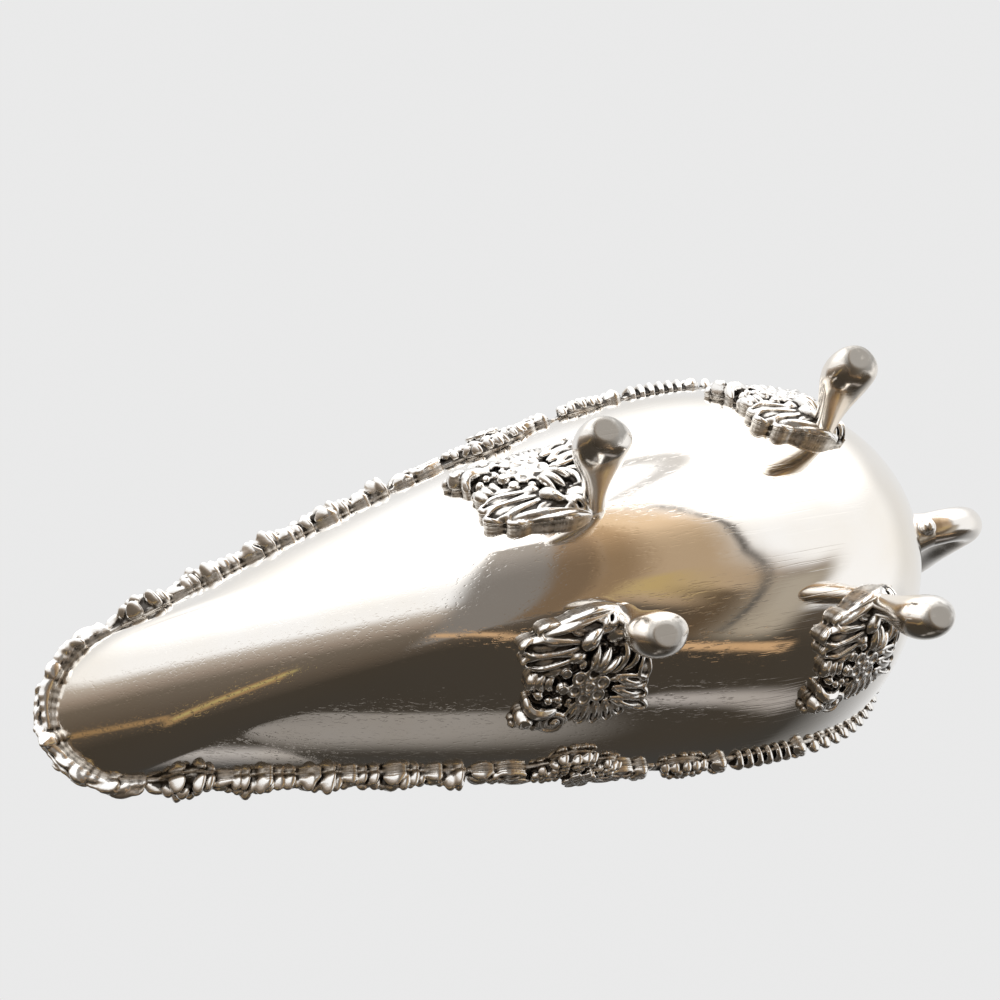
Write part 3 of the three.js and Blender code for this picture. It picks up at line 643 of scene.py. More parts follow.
def long_leaf(x, flip):
    """A leaf with a turned-up edge along each side."""
    leaf = [pod(x + 2.2, middle + 0.3 * flip, 4.6, 2.8, 1.6, -0.3 * flip, 0.8, pear=0.25)]
    for radius, edge in (
        (0.65, ((0, 1.2, 1), (2.4, 1.9, 1.7), (4.2, 0.8, 1))),
        (0.7, ((0, -0.9, 1), (2.0, -1.5, 1.6), (4.6, -1.8, 1))),
    ):
        leaf.append(twig([(x + ahead, middle + over * flip, z) for ahead, over, z in edge], radius))
    return leaf


def curl(x, flip):
    return [
        volute(x, middle - 0.2 * flip, 1.5, 1.3, math.pi, 0.6, 1.2),
        pod(x, middle - 0.2 * flip, 1.3, 1.3, 1.0, 0, 1.2),
    ]


def round_lumps(x, flip):
    return [
        pod(x, middle + 1.2 * flip, 2.2, 2.2, 1.5, 0, 0.9),
        pod(x - 0.3, middle - 1.3 * flip, 2.0, 2.0, 1.4, 0, 0.9),
        pod(x + 1.6, middle - 0.4 * flip, 1.7, 2.0, 1.5, 0, 0.9),
    ]


forms += berry_bunch(start + 8, 2.9, 10.5, 7, 2.9, 10, 2)
scrolls_from = start + 14
count = round((end - scrolls_from) / SCROLL_PITCH)
for k in range(count):
    x = scrolls_from + (end - scrolls_from) * k / count
    flip = 1 if k % 2 else -1
    forms += long_leaf(x, flip) + round_lumps(x + 7.3, flip)
    forms += curl(x + 5.5, flip) if k % 3 else round_lumps(x + 5.2, -flip)
# buds fill the gaps between the scrolls
chance = np.random.RandomState(9)
for x in np.arange(scrolls_from, end - 1, BUD_PITCH):
    size = chance.uniform(2.0, 3.2)
    y = middle + chance.uniform(-1.2, 1.4)
    forms.append(pod(x, y, size, size * chance.uniform(0.8, 1), size * 0.55, 0, 1.2))


def gathered(points):
    """Draws a border's forms together into clusters, with thin stretches between them."""
    phase = 2 * np.pi * (points[:, 0] - LIP_BORDER_REACH - 4.2) / CLUSTER_PITCH
    swell = 1 + 0.2 * np.sin(phase)
    fuller = points.copy()
    fuller[:, 1] = middle + (points[:, 1] - middle) * swell
    fuller[:, 2] = np.where(points[:, 2] > 0.4, 0.4 + (points[:, 2] - 0.4) * swell, points[:, 2])
    return fuller


front_border, points = casting("front_scrolls_right", forms)
finish_casting(front_border, on_wall(gathered(points), FRONT_FULLNESS), "front_border_right")
left_copy(front_border, "front_scrolls_left", "front_border_left")


# Sprays in the middle of the sides
# Cast silver: an open flower among leaves and many berries, the widest piece of the border and
# the one that hangs lowest. Soldered to the rim and the wall.

SPRAY_LENGTH = 44

start = SPRAY_FROM_SPOUT + JOINT_GAP / 2
end = SPRAY_FROM_SPOUT + SPRAY_LENGTH - JOINT_GAP / 2
heart = (start + end) / 2
forms = [border_ground(start, end, lambda x: 3.6 * math.exp(-((x - heart) / 9) ** 2))]


def blossom(x, y, radius, z):
    """An open flower: six petals, each with a ring on it, round a ringed heart."""
    petals = []
    for k in range(6):
        angle = k * math.pi / 3 + 0.3
        px, py = x + radius * 0.62 * math.cos(angle), y + radius * 0.62 * math.sin(angle)
        petals.append(pod(px, py, radius * 0.6, radius * 0.6, 0.7, 0, z))
        petals.append(ring(px, py, radius * 0.27, radius * 0.1, z + 0.55))
    petals.append(ring(x, y, radius * 0.2, radius * 0.08, z + 0.8))
    petals.append(pod(x, y, radius * 0.25, radius * 0.25, 0.5, 0, z + 0.5))
    return petals


forms += blossom(heart + 2.4, 3.4, 3.6, 2.2)
forms += berry_bunch(heart - 1.2, 8.0, 10.5, 5.6, 2.2, 15, 3)
forms += berry_bunch(heart - 4.4, 2.6, 6.6, 5.6, 1.8, 11, 5)
forms += berry_bunch(heart + 7.8, 5.0, 6, 4.4, 1.7, 9, 8)
for side in (-1, 1):
    forms += lobe(heart + side * 8, 1.2, heart + side * 13.6, 0.2, 3.2, 1.5, 0.9)
    forms += lobe(heart + side * 9.4, 3.2, heart + side * 15.6, 2.8, 2.9, 1.5, 0.8)
    forms += long_leaf(heart + side * 18.4 - 2.6, side) + curl(heart + side * 13.2, side)
    forms += berry_bunch(heart + side * 16.6, 1.2, 4, 4, 1.6, 5, 11)
    stem = [(heart + side * 5, -0.1, 1.3), (heart + side * 10, -0.7, 1.6), (heart + side * 15, 0, 1.2)]
    forms.append(twig(stem, 0.8))
    forms.append(pod(heart + side * 8.8, 6.4 - side, 3.6, 1.7, 1.2, 0.9 * side, 0.9))
spray, points = casting("flower_spray_right", forms)
finish_casting(spray, on_wall(points, SIDE_FULLNESS), "side_spray_right")
left_copy(spray, "flower_spray_left", "side_spray_left")


# Borders from the side sprays to the handle
# Cast silver: a small bunch of berries, a run of ribs like a folded ribbon, then buds that grow
# smaller towards the handle. Soldered to the rim.

LEAF_WIDTH = 22
RIB_PITCH = 2.7
PAIR_PITCH = 4.3

start = SPRAY_FROM_SPOUT + SPRAY_LENGTH + JOINT_GAP / 2
end = HALF_RIM - LEAF_WIDTH / 2 - JOINT_GAP / 2
middle = BORDER_DEPTH / 2 - 0.2
forms = [border_ground(start, end)]
forms += berry_bunch(start + 6.6, 1.9, 11, 5.4, 2.0, 15, 4)
forms += long_leaf(start + 13.6, 1)
for k in range(6):
    x = start + 21 + RIB_PITCH * k
    forms.append(twig([(x - 0.4, -0.6, 0.7), (x + 0.6, 1.4, 1.4), (x - 0.2, 3.5, 0.7)], 0.95, 0.55))
    forms.append(pod(x + RIB_PITCH / 2, -0.3, 1.1, 1.4, 0.9, 0, 0.9))
forms += long_leaf(start + 36.6, 1)
buds_from = start + 42
count = int((end - buds_from) / PAIR_PITCH)
for k in range(count):
    x = buds_from + (end - buds_from) * (k + 0.5) / count
    size = 1 - 0.2 * k / count
    forms.append(pod(x, middle, 3.4 * size, 2.8 * size, 1.5 * size, 0.3, 0.9))
    for y in (1.25, -1.2):
        forms.append(pod(x + 2.1, middle + y, 1.5 * size, 1.5 * size, 1.0, 0, 0.9))
rear_border, points = casting("rear_ribs_right", forms)
finish_casting(rear_border, on_wall(points, SIDE_FULLNESS), "rear_border_right")
left_copy(rear_border, "rear_ribs_left", "rear_border_left")


# Knees
# Cast silver mounts that spread each leg's load over the thin sheet: a shell of lobes at the
# front, a flower in the middle, leaves behind and above, and a volute with berries. Soldered on.

FRONT_FOOT = (SPOUT_X + 96.5, 22.2)
REAR_FOOT = (SPOUT_X + 165, 29.8)
REAR_KNEE_SHARE = 0.84
KNEE_LIFT = 0.5
KNEE_CROWN = 1.6
KNEE_EDGE = 2.8
LEAFLET_PITCH = 1.9


def bowl_place(misses, turn, fill):
    """The place on the bowl where misses comes to nothing, found by Newton's steps."""
    step = 1e-4
    for _ in range(12):
        here = misses(turn, fill)
        by_turn = (misses(turn + step, fill) - here) / step
        by_fill = (misses(turn, fill + step) - here) / step
        area = by_turn[..., 0] * by_fill[..., 1] - by_turn[..., 1] * by_fill[..., 0]
        turn = turn - (by_fill[..., 1] * here[..., 0] - by_fill[..., 0] * here[..., 1]) / area
        fill = fill - (by_turn[..., 0] * here[..., 1] - by_turn[..., 1] * here[..., 0]) / area
        fill = np.minimum(fill, 0.99)
    return turn, fill


def place_over(spot):
    """The place on the bowl's right side over a spot of the plan."""
    return bowl_place(lambda t, f: bowl_point(t, f)[..., :2] - spot, np.array(0.5), np.array(0.6))


def on_knee(points, foot):
    """Lays a flat knee on the bowl over a foot, with x to the rear."""
    turn, fill = place_over(foot)
    out = bowl_normal(turn, fill)
    back = np.array([1, 0, 0]) - out * out[0]
    back /= np.linalg.norm(back)
    down = np.cross(out, back)
    origin = bowl_point(turn, fill)
    frame_axes = np.stack([back, down], -1)
    start = np.full(len(points), float(turn)), np.full(len(points), float(fill))
    turn, fill = bowl_place(lambda t, f: (bowl_point(t, f) - origin) @ frame_axes - points[:, :2], *start)
    return bowl_point(turn, fill) + bowl_normal(turn, fill) * points[:, 2:]


knee_outline = [
    (3, 15.4), (-4, 14.2), (-10, 12.4), (-14.6, 9.8), (-15.4, 5.6), (-12.6, 2.4), (-13.2, -1.2), (-11.8, -4),
    (-13.8, -8), (-13.6, -11), (-8, -12.4), (-3.6, -10.4), (1, -10.4), (7, -8.4), (12.2, -6.8),
    (11.6, -2.6), (13, 0.6), (12.6, 4.6), (10.4, 7.4), (9.8, 11.6), (8.6, 15.4), (6, 16.4),
]


def smooth_outline(points, rounds=3):
    points = np.array(points, float)
    for _ in range(rounds):
        after = np.roll(points, -1, 0)
        points = np.stack([0.75 * points + 0.25 * after, 0.25 * points + 0.75 * after], 1).reshape(-1, 2)
    return points


forms = [plate([tuple(p) for p in smooth_outline(knee_outline)], 0.6)]
# small leaflets fill the ground between the larger forms
chance = np.random.RandomState(6)
for x in np.arange(-13, 12, LEAFLET_PITCH):
    for y in np.arange(-10, 13, LEAFLET_PITCH):
        px = x + chance.uniform(-0.5, 0.5)
        py = y + chance.uniform(-0.5, 0.5)
        at_edge = min(math.hypot(px - qx, py - qy) for qx, qy in knee_outline) < 3.4
        under_leg = py > 12 - 0.45 * abs(px)
        in_notch = -15 < px < -11 and -8 < py < 1
        if not (at_edge or under_leg or in_notch):
            forms.append(pod(px, py, 2.3, 1.4, 1.15, chance.uniform(0, math.pi), 0.5))
# the shell of lobes at the front
forms.append(twig([(5.4, 15.8, 1.2), (0.1, 15.2, 2.0), (-6.5, 12.9, 2.0), (-12.4, 10.9, 1.6)], 1.35, 0.3))
for x0, y0, x1, y1, width in (
    (3.4, 12.6, -6.0, 13.2, 4.6),
    (0, 11.2, -12.4, 11.4, 4.6),
    (-2.4, 9.2, -16.2, 8.2, 4.6),
    (-3.6, 6.8, -15.4, 4.7, 4.0),
):
    forms += lobe(x0, y0, x1, y1, width, 2.1, 0.9, 0.6)
for bend in (0, 1.3):
    stem = (-3.9 - bend, 5.4 - bend * 0.7, 1.1)
    crest = (-7.6 - bend * 0.6, 3.5 - bend * 0.6, 1.8)
    forms.append(twig([stem, crest, (-11.4, 3.2 - bend * 0.7, 1.1)], 0.75))
# polished drop, tulip and bud below the leg
forms.append(pod(-1.2, 10.4, 6.2, 3.9, 2.9, math.radians(45), 1.6, pear=-0.25))
for turn_round, x, y, width in ((-122, 1.9, 5.6, 3.0), (-100, 0.1, 6.3, 2.2), (-144, 3.6, 4.4, 2.2)):
    forms.append(pod(x, y, 6.6, width, 2.9, math.radians(turn_round), 1.3, pear=0.2))
forms.append(pod(-3.8, 6.4, 4.6, 3.2, 2.3, math.radians(20), 1.2))
forms.append(pod(-2.3, 4.7, 2.8, 2.2, 1.8, math.radians(60), 1.2))
# flower and berries, the two large ones with a ring on them
forms += blossom(-0.4, -0.6, 4.9, 1.7)
for x, y, size in (
    (-5.9, 3.0, 3.3),
    (-6.1, -0.9, 3.3),
    (-13.2, -1.2, 2.1),
    (-10.9, -3.1, 2.2),
    (-8.5, -4.4, 2.1),
    (-6.4, -4.1, 2.0),
):
    forms.append(pod(x, y, size, size, size * 0.55, 0, 1.3))
    if size > 3:
        forms.append(ring(x, y, 0.85, 0.28, 2.9))
for x in (-8.8, -10.8, -12.6):
    forms.append(twig([(x + 0.8, 2.5, 1.1), (x - 0.6, 0.2, 1.9), (x + 0.9, -2.1, 1.1)], 1.0, 0.3))
# leaf tips at the top
for k, (x, y) in enumerate(((-3.6, -10.6), (-0.6, -11.4), (2.6, -11.3), (5.8, -10.5), (8.6, -9.0))):
    bx, by = -1.8 + 1.9 * k, -4.4
    forms += lobe(bx, by, x, y, 3.2, 1.6, 0.8, 0.42)
    forms.append(twig([(bx, by, 1.6), ((bx + x) / 2, (by + y) / 2, 2.2), (x, y, 1.2)], 0.4))
# volute with berries at the front top corner, the largest one with a ring on it
forms.append(volute(-6.5, -10.0, 3.4, 1.9, math.radians(150), 0.95, 1.5))
forms.append(pod(-6.5, -10.0, 2.0, 2.0, 1.6, 0, 1.4))
forms.append(twig([(-13.2, -4.4, 1.1), (-12.2, -6.6, 2.2), (-9.2, -7.2, 2.2), (-6.4, -6.7, 1.5)], 1.5, 0.4))
forms.append(pod(-13.0, -9.6, 4.6, 4.6, 2.7, 0, 1.1))
forms.append(ring(-13.0, -9.6, 1.1, 0.35, 3.3))
forms.append(pod(-10.4, -12.0, 2.6, 2.6, 1.6, 0, 0.9))
forms.append(pod(-15.0, -11.4, 2.1, 2.1, 1.3, 0, 0.8))
# leaves behind the flower
forms += lobe(12.0, 6.4, 12.2, 0.2, 3.8, 2.0, 0.9, 0.5)
for x0, y0, x1, y1 in ((5.6, 1.4, 13.2, -0.8), (5.2, -1.2, 13.6, -3.6), (5.0, -3.8, 14.2, -7.0)):
    forms += lobe(x0, y0, x1, y1, 3.6, 1.9, 0.9, 0.5)
    forms.append(twig([(x0, y0, 1.6), ((x0 + x1) / 2, (y0 + y1) / 2 - 0.3, 2.5), (x1, y1, 1.3)], 0.45))
forms.append(twig([(6.6, 9.6, 1.4), (7.2, 6.4, 2.1), (5.8, 3.4, 1.9), (4.0, 1.8, 1.2)], 0.8))
forms.append(twig([(9.2, 10, 1.4), (9.8, 7, 2.1), (8.9, 4.2, 1.9), (6.4, 2.2, 1.2)], 0.75))
forms.append(pod(5.6, 0.9, 3.0, 1.9, 1.5, 0.2, 1.2))
# collar of ribs round the leg, and the curl on it
forms.append(pod(4.6, 11.2, 5.4, 4.6, 1.6, 0.6, 1.0))
for k in range(4):
    x = 1.6 + 2.0 * k
    forms.append(twig([(x - 1.2, 11.2, 1.4), (x, 13.2, 2.2), (x + 0.8, 15.6, 1.7)], 0.8, 0.5))
forms.append(volute(8.2, 9.6, 1.5, 1.2, math.radians(-60), 0.6, 2.2))


def knee_lift(points):
    """Crowns a knee towards its leg, and rounds it off to its edge."""
    share = np.clip((points[:, 1] + 4) / 22, 0, 1)
    inside = np.full(len(points), np.inf)
    for x, y in smooth_outline(knee_outline, 5):
        inside = np.minimum(inside, np.hypot(points[:, 0] - x, points[:, 1] - y))
    near = np.clip(inside / KNEE_EDGE, 0, 1)
    lift = (KNEE_CROWN * share ** 2 + KNEE_LIFT) * near * (2 - near)
    return np.where(points[:, 2] > EDGE_FOOT, lift, 0)


knee, flat_points = casting("front_knee_cast_right", forms, knee_lift)
rear_knee = new_object("rear_knee_cast_right", knee.data.copy())
finish_casting(knee, on_knee(flat_points, FRONT_FOOT), "front_knee_right")
left_copy(knee, "front_knee_cast_left", "front_knee_left")
finish_casting(rear_knee, on_knee(flat_points * [REAR_KNEE_SHARE, 1, 1], REAR_FOOT), "rear_knee_right")
left_copy(rear_knee, "rear_knee_cast_left", "rear_knee_left")


# Legs
# Plain cast silver with a narrow neck and a broad club toe, flattened where it faces inward and
# filed flat at the sole. Each is soldered into its knee and to the bowl.

LEG_WIDTH = 5.4
TOE_WIDTH = 14
TOE_THICKNESS = 11.4
TOE_HEIGHT = 5.6
SOLE_WIDTH = 4.2
LEG_LEAN = 9.8
LEG_BOW = 1.6
LEG_FLARE = 1.4
LEG_ROOT_DEPTH = 0.5
FRONT_LEG_RAKE = 7.5
REAR_LEG_RAKE = 2
ANKLE_SHARE = 0.72
TOE_FLAT = 0.8
SOLE_WEAR = 0.35


def leg_points(ball, foot, rake):
    """Draws a ball's points out to a leg, from the bowl down to the sole."""
    root_in_plan = np.array(foot) + [rake, -LEG_LEAN]
    turn, fill = place_over(root_in_plan)
    sole = np.array([*foot, 0])
    root = bowl_point(turn, fill) - bowl_normal(turn, fill) * LEG_ROOT_DEPTH
    bend = (root + sole) / 2 + [0, LEG_BOW, 0]
    # the ball's poles close the two ends
    cap = 0.03
    share = np.arccos(np.clip(-ball[:, 2], -1, 1)) / math.pi
    closing = np.clip(np.minimum(share, 1 - share) / cap, 0, 1)
    share = np.clip((share - cap) / (1 - 2 * cap), 0, 1)[:, None]
    ankle = 1 - TOE_HEIGHT / root[2]
    height = np.clip((1 - share) / (1 - ANKLE_SHARE), 0, 1) ** 1.6
    above = np.clip(share / ANKLE_SHARE, 0, 1)
    part = above * ankle
    curve = (1 - part) ** 2 * root + 2 * part * (1 - part) * bend + part ** 2 * sole
    way = 2 * (1 - part) * (bend - root) + 2 * part * (sole - bend)
    way /= np.linalg.norm(way, axis=1, keepdims=True)
    low = share > ANKLE_SHARE
    ankle_point = curve[np.argmax(share)]
    centre = np.where(low, sole + (ankle_point - sole) * height, curve)
    way = np.where(low, way * height + np.array([0, 0, -1]) * (1 - height), way)
    way /= np.linalg.norm(way, axis=1, keepdims=True)
    round_off = np.clip(1 - (1 - height) ** 2, 0, 1) ** 0.7
    late = above ** 1.4
    swell = late ** 2 * (3 - 2 * late)
    flare = LEG_FLARE * np.exp(-share * 22)

    def measure(toe):
        under_ankle = SOLE_WIDTH + (toe - SOLE_WIDTH) * round_off
        return np.where(low, under_ankle, LEG_WIDTH + (toe - LEG_WIDTH) * swell + flare)

    width = measure(TOE_WIDTH)
    thick = measure(TOE_THICKNESS)
    side = np.array([1.0, 0, 0]) - way * way[:, :1]
    side /= np.linalg.norm(side, axis=1, keepdims=True)
    other = np.cross(way, side)
    angle = np.arctan2(ball[:, 1], ball[:, 0])[:, None]
    inward = np.sin(angle) * np.sign(other[:, 1:2]) < 0
    thick = np.where(inward, thick * (1 - (1 - TOE_FLAT) * np.minimum(swell, 1)), thick)
    reach = closing[:, None]
    return centre + (side * width * np.cos(angle) + other * thick * np.sin(angle)) / 2 * reach


worn_silver = silver("worn_cast_silver", (0.92, 0.89, 0.85), (0.86, 0.78, 0.68), (0.10, 0.26))

# the sole and what is just above it are scuffed rougher, and painted a darker grey as a painted reflection of
# the dark below the feet, with a ragged edge
tree = worn_silver.node_tree
shader = tree.nodes["Principled BSDF"]
place = add_node(tree, "TexCoord").outputs["Object"]
height = add_node(tree, "SeparateXYZ", {"Vector": place}).outputs["Z"]
ragged = calculated(tree, "MULTIPLY_ADD", noise(tree, place, 420, 5), 0.003, height)
scuffed_and_dark_sole = rescaled(tree, ragged, 0.0028, 0.0018)
# the grey colour here is the painted reflection; the higher roughness is the scuffing
for socket, kind, grey in (("Base Color", "RGBA", (0.40, 0.38, 0.35, 1)), ("Roughness", "FLOAT", 0.42)):
    away_from_sole = shader.inputs[socket].links[0].from_socket
    connect(tree, shader, {socket: mixed(tree, scuffed_and_dark_sole, away_from_sole, grey, kind)})

for name, foot, rake in (("front_leg", FRONT_FOOT, FRONT_LEG_RAKE), ("rear_leg", REAR_FOOT, REAR_LEG_RAKE)):
    bpy.ops.object.select_all(action="DESELECT")
    bpy.ops.mesh.primitive_uv_sphere_add(segments=48, ring_count=72, radius=1)
    leg = bpy.context.object
    leg.name = f"{name}_cast_right"
    put_points(leg, leg_points(points_of(leg), foot, rake) * MM)
    bpy.ops.object.mode_set(mode="EDIT")
    bpy.ops.mesh.normals_make_consistent(inside=False)
    bpy.ops.object.mode_set(mode="OBJECT")
    smoothed(leg, 40)
    worn = points_of(leg)
    worn[:, 2] = np.maximum(worn[:, 2] - worn[:, 2].min() - SOLE_WEAR * MM, 0)
    put_points(leg, worn)
    bpy.ops.object.shade_smooth()
    leg.data.materials.append(worn_silver)
    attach(leg, "root")
    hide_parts(f"{name}_right")
    left_copy(leg, f"{name}_cast_left", f"{name}_left")


# Handle
# One bar of cast silver, bent to an open loop that leans back, thinner at its upper end. Its
# lower end sits in a trumpet foot and its upper end in a leaf on the rim.

HANDLE_REACH = 28
HANDLE_TOP = 113
HANDLE_BAR = 8.6
HANDLE_ROOT_HEIGHT = 58
HANDLE_THINNING = 0.25
HANDLE_VOXEL = 0.45
FILED_DEPTH = 0.6

thick = HANDLE_BAR
out = HANDLE_REACH - thick / 2
top = HANDLE_TOP - thick / 2
waist = (HANDLE_ROOT_HEIGHT + REAR_HEIGHT) / 2
handle_line = [
    (-1.05 * thick, HANDLE_ROOT_HEIGHT + 0.3 * thick),
    (-0.1 * thick, HANDLE_ROOT_HEIGHT - 0.15 * thick),
    (out - 1.9 * thick, HANDLE_ROOT_HEIGHT - 0.3 * thick),
    (out - 1.1 * thick, HANDLE_ROOT_HEIGHT + 0.15 * thick),
    (out - 0.85 * thick, waist - 0.7 * thick),
    (out - 0.65 * thick, waist + 0.45 * thick),
    (out - 0.25 * thick, REAR_HEIGHT + 0.1 * thick),
    (out, top - 0.9 * thick),
    (out - 0.35 * thick, top - 0.1 * thick),
    (out - 1.15 * thick, top),
    (out - 2 * thick, top - 0.7 * thick),
    (0.3 * thick, REAR_HEIGHT + 0.6 * thick),
    (-0.25 * thick, REAR_HEIGHT - 0.6 * thick),
]


def outside_bowl(points):
    """Holds back what would come through the bowl's rear wall, as if filed to fit it."""
    low = points[:, 2] < REAR_HEIGHT - 1
    sides = points[low][:, 1:]
    start = np.full(len(sides), 1.0), np.full(len(sides), 0.9)
    turn, fill = bowl_place(lambda t, f: bowl_point(t, f)[..., 1:] - sides, *start)
    wall = bowl_point(turn, fill)[:, 0] - FILED_DEPTH
    sound = np.isfinite(wall) & (wall > REAR_X - 30) & (wall <= REAR_X)
    fitted = points.copy()
    fitted[low, 0] = np.where(sound, np.maximum(points[low, 0], wall), points[low, 0])
    return fitted


path = np.array(tapered([(REAR_X + x, 0, z) for x, z in handle_line], HANDLE_BAR / 2, 1))
share = np.linspace(0, 1, len(path))
path[:, 3] = HANDLE_BAR / 2 * (1 - HANDLE_THINNING * share ** 4)
handle = melted("loop_handle", [strand([tuple(row) for row in path], 10, footed=False)], HANDLE_VOXEL)
smoothed(handle, 6)
finish_casting(handle, outside_bowl(points_of(handle)), "handle", worn_silver)


# Foot of the handle
# A cast trumpet that spreads the handle's lower end onto the thin sheet, with a bead below.
# Soldered to the bowl.

HANDLE_ROOT_WIDTH = 15
HANDLE_ROOT_LENGTH = 12
BEAD_DROP = 5
TRUMPET_VOXEL = 0.3

line = path[:, :3]
along = np.concatenate([[0], np.cumsum(np.linalg.norm(np.diff(line, axis=0), axis=1))])
rows = []
for part in np.linspace(-0.25, 1, 50):
    at = (part + 0.25) * HANDLE_ROOT_LENGTH
    place = [np.interp(at, along, line[:, axis]) for axis in range(3)]
    width = HANDLE_BAR - 0.5 + (HANDLE_ROOT_WIDTH - HANDLE_BAR) * max(0.9 - part, 0) ** 2
    rows.append((*place, width / 2))
forms = [strand(rows, 10, footed=False)]
bead_x, bead_z = (np.interp(0.6 * HANDLE_ROOT_LENGTH, along, line[:, axis]) for axis in (0, 2))
forms.append(pod(bead_x, 0, 4.0, 3.8, 2.1, 0, bead_z - BEAD_DROP, back=bead_z - BEAD_DROP - 2.1))
trumpet = melted("handle_trumpet", forms, TRUMPET_VOXEL)
smoothed(trumpet, 6)
finish_casting(trumpet, outside_bowl(points_of(trumpet)), "handle_root", worn_silver)


# Leaf at the top of the handle
# Cast silver: five lobes spread over the rim and down the bowl's rear, between two volutes. It
# holds the handle's upper end and closes the border.

start = HALF_RIM - LEAF_WIDTH / 2 + JOINT_GAP / 2
end = HALF_RIM + LEAF_WIDTH / 2 - JOINT_GAP / 2
forms = [border_ground(start, end, lambda x: 4.4 * math.cos((x - HALF_RIM) / LEAF_WIDTH * math.pi) ** 2)]
for k in range(5):
    angle = math.radians(18 + 36 * k)
    reach = 9.6 if k in (1, 2, 3) else 8.6
    tip = (HALF_RIM + reach * math.cos(angle), 1.6 + reach * math.sin(angle))
    forms += lobe(HALF_RIM + 1.5 * math.cos(angle), 1.4 + 1.5 * math.sin(angle), *tip, 4.2, 1.7, 0.8)
    forms.append(twig([(HALF_RIM, 1.5, 2), (*np.add((HALF_RIM, 1.5), tip) / 2, 2.3), (*tip, 1.2)], 0.45))
for side in (-1, 1):
    forms.append(volute(HALF_RIM + side * 8.6, 0.9, 1.9, 1.6, 0, 0.6, 1.3))
    forms.append(pod(HALF_RIM + side * 5, 0.6, 3.2, 2.2, 1.6, 0, 1.0))
leaf, points = casting("handle_leaf_cast", forms)
finish_casting(leaf, on_wall(points, SIDE_FULLNESS), "handle_leaf")

bpy.data.objects.remove(bead)


# Studio
# A pale floor under the feet, and a pale room with soft boxes, which the metal mirrors. The camera
# looks up at the boat from below its floor, so the floor shows from above only.

VIEW_RIGHT = (0.8626, 0.2650, -0.4309)
VIEW_UP = (0.1388, -0.9431, -0.3023)
VIEW_AHEAD = (0.4865, -0.2009, 0.8503)
CAMERA_PLACE = (-0.3033 + (SPOUT_X + 110) * MM, 0.0968, -0.4564)
FOCAL_PIXELS = 2679.7
FRAME_PIXELS = 1000
PALE = (0.82, 0.82, 0.82)
OVERHEAD_GAIN = 0.9
FLOOR_SIZE = 6
FLOOR_DROP = 0.0004

camera_data = bpy.data.cameras.new("camera")
camera = new_object("camera", camera_data)
camera_data.sensor_width = 36
camera_data.lens = FOCAL_PIXELS / FRAME_PIXELS * camera_data.sensor_width
camera_data.clip_start = 0.01
axes = Matrix((VIEW_RIGHT, VIEW_UP, [-part for part in VIEW_AHEAD])).transposed().to_4x4()
camera.matrix_world = Matrix.Translation(CAMERA_PLACE) @ axes
bpy.context.scene.camera = camera

world = bpy.data.worlds.new("studio")
bpy.context.scene.world = world
world.use_nodes = True
tree = world.node_tree
tree.nodes.clear()
outward = add_node(tree, "TexCoord").outputs["Generated"]
right, up, ahead = (
    add_node(tree, "VectorMath", {0: outward, 1: axis}, operation="DOT_PRODUCT").outputs["Value"]
    for axis in (VIEW_RIGHT, VIEW_UP, VIEW_AHEAD)
)
behind = calculated(tree, "MULTIPLY", ahead, -1)
azimuth = calculated(tree, "MULTIPLY", calculated(tree, "ARCTAN2", right, behind), 180 / math.pi)
elevation = calculated(tree, "MULTIPLY", calculated(tree, "ARCSINE", up), 180 / math.pi)


def between(value, low, high, softness):
    """1 between two angles and 0 outside them, with soft edges."""
    above = rescaled(tree, value, low - softness, low + softness, blend="SMOOTHSTEP")
    past = rescaled(tree, value, high - softness, high + softness, blend="SMOOTHSTEP")
    return calculated(tree, "MULTIPLY", above, calculated(tree, "SUBTRACT", 1, past))


# the room from straight below to straight above
level = rescaled(tree, elevation, -90, 90)
light = ramp(tree, level, (
    (0, (0.05, 0.043, 0.035)),
    (0.30, (0.055, 0.045, 0.034)),
    (0.40, (0.11, 0.086, 0.064)),
    (0.49, (0.16, 0.13, 0.10)),
    (0.53, (0.32, 0.26, 0.21)),
    (0.57, (0.5, 0.44, 0.38)),
    (0.60, (1, 1, 1)),
    (1, (1, 1, 1)),
))
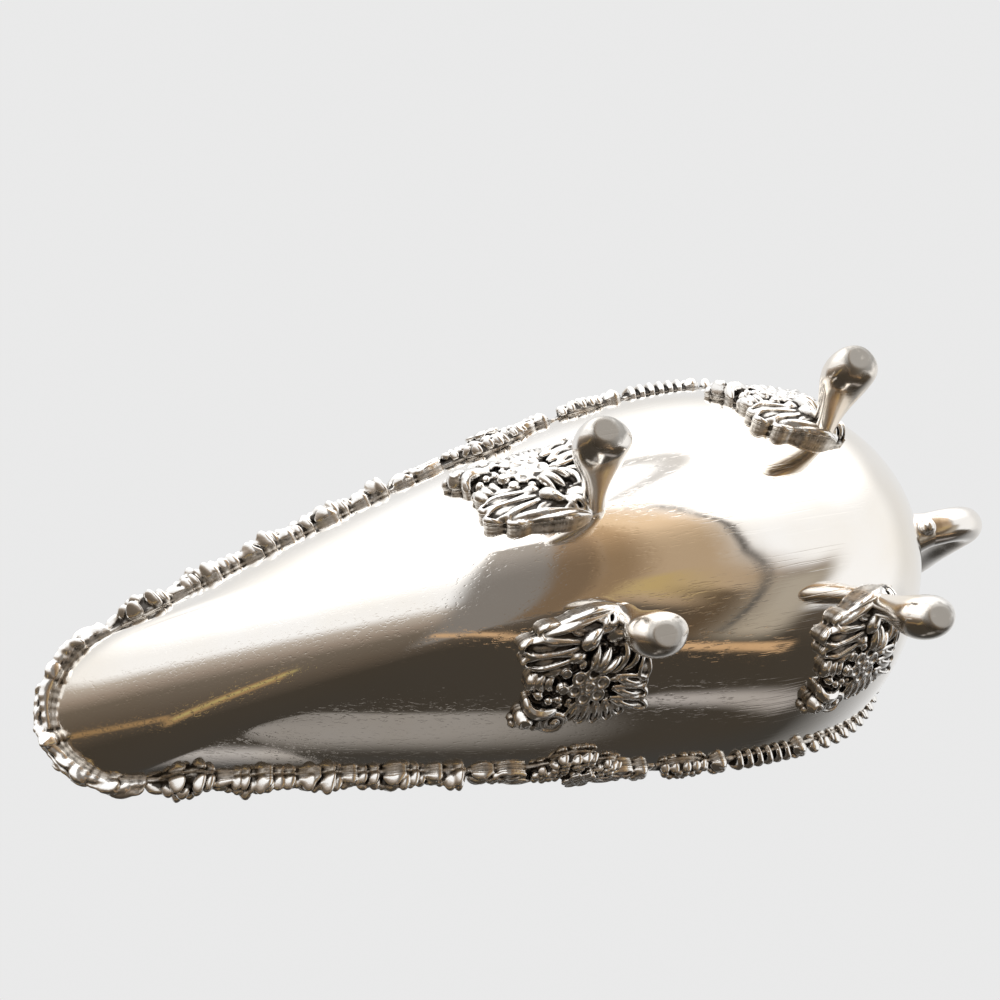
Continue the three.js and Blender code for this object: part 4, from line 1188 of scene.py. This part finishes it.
# cards and soft boxes that hang in it: colour, azimuths and elevations in degrees round the
# camera's own axes, softness of the edges, and how much the card slants
for color, azimuths, elevations, softness, slant in (
    ((0.22, 0.20, 0.18), (9, 30), (-18, 58), 3, 0),
    ((0.19, 0.13, 0.08), (26, 36), (-15, 72), 2, 0),
    ((0.28, 0.19, 0.11), (34, 56), (-15, 78), 2, 0),
    ((0.47, 0.35, 0.23), (42, 56), (-15, 74), 4, 0),
    ((0.50, 0.37, 0.17), (41, 49), (-10, 6), 4, 0),
    ((0.11, 0.075, 0.045), (49, 56), (-34, -5), 3, 0),
    ((1, 1, 1), (57, 190), (7, 74), 6, 0),
    ((1, 1, 1), (68, 190), (-20, 40), 3, 0),
    ((0.42, 0.37, 0.30), (56, 69), (-33, 2), 5, 0),
    ((0.12, 0.11, 0.10), (55.4, 56.6), (-30, 70), 0.6, 0),
    ((0.40, 0.39, 0.38), (62, 175), (74, 79), 2, 0),
    ((0.62, 0.40, 0.22), (34, 80), (-40, -36), 1, 0),
    ((0.62, 0.40, 0.22), (10, 36), (2.4, 6), 1, 1.2),
    ((0.33, 0.21, 0.10), (-48, -18), (-3.4, 3.6), 1.2, -0.65),
    ((0.33, 0.21, 0.10), (-92, -46), (-32.4, -28.2), 1.2, 0.1),
    ((0.46, 0.37, 0.15), (-45, -16), (-0.6, 1.8), 1, -0.65),
    ((0.30, 0.28, 0.26), (80, 180), (-88, -72), 6, 0),
    ((0.42, 0.39, 0.37), (76, 122), (-96, -89), 3, -0.375),
    ((0.72, 0.68, 0.65), (-200, -168), (-70, -57), 4, 0),
    ((0.42, 0.42, 0.43), (-179, -120), (38, 52), 6, 0),
):
    leaning = calculated(tree, "MULTIPLY_ADD", azimuth, slant, elevation)
    across = between(azimuth, *azimuths, softness)
    upward = between(leaning, *elevations, softness)
    light = mixed(tree, calculated(tree, "MULTIPLY", across, upward), light, (*color, 1))

# behind the boat the metal mirrors the pale room, and the floor in the boat's own shade
backdrop = ramp(tree, level, ((0.25, (0.05, 0.047, 0.043)), (0.45, PALE)))
far = rescaled(tree, behind, -0.25, -0.6, blend="SMOOTHSTEP")
surround = mixed(tree, far, light, backdrop)
# the soft box overhead is stronger where only the metal mirrors it
rays = add_node(tree, "LightPath").outputs
overhead = rescaled(tree, elevation, 25, 55, blend="SMOOTHSTEP")
mirrored = calculated(tree, "MULTIPLY", rays["Is Glossy Ray"], overhead)
strength = calculated(tree, "MULTIPLY_ADD", mirrored, OVERHEAD_GAIN, 1)
lit = add_node(tree, "Background", {"Color": surround, "Strength": strength}).outputs["Background"]
seen = add_node(tree, "Background", {"Color": (*PALE, 1)}).outputs["Background"]
both = add_node(tree, "MixShader", {0: rays["Is Camera Ray"], 1: lit, 2: seen}).outputs["Shader"]
add_node(tree, "OutputWorld", {"Surface": both})

bpy.ops.object.select_all(action="DESELECT")
bpy.ops.mesh.primitive_plane_add(size=FLOOR_SIZE, location=(0, 0, -FLOOR_DROP))
floor = bpy.context.object
floor.name = "pale_floor"
floor.visible_glossy = False
floor.visible_shadow = False
floor_paint = bpy.data.materials.new("pale_floor_paint")
floor_paint.use_nodes = True
tree = floor_paint.node_tree
matt = {"Base Color": (*PALE, 1), "Roughness": 0.9, "Specular IOR Level": 0.2}
paint = connect(tree, tree.nodes["Principled BSDF"], matt).outputs["BSDF"]
glow = add_node(tree, "Emission", {"Color": (*PALE, 1)}).outputs["Emission"]
side = add_node(tree, "NewGeometry").outputs
spread = add_node(tree, "VectorMath", {0: side["Position"]}, operation="LENGTH").outputs["Value"]
fade = rescaled(tree, spread, 0.1, 0.9, 0.5, 1, "SMOOTHSTEP")
strength = calculated(tree, "MULTIPLY", fade, add_node(tree, "LightPath").outputs["Is Camera Ray"])
pale = add_node(tree, "MixShader", {0: strength, 1: paint, 2: glow}).outputs["Shader"]
clear = add_node(tree, "BsdfTransparent").outputs["BSDF"]
one_sided = add_node(tree, "MixShader", {0: side["Backfacing"], 1: pale, 2: clear}).outputs["Shader"]
connect(tree, tree.nodes["Material Output"], {"Surface": one_sided})
floor.data.materials.append(floor_paint)

bpy.context.scene.view_settings.view_transform = "Standard"
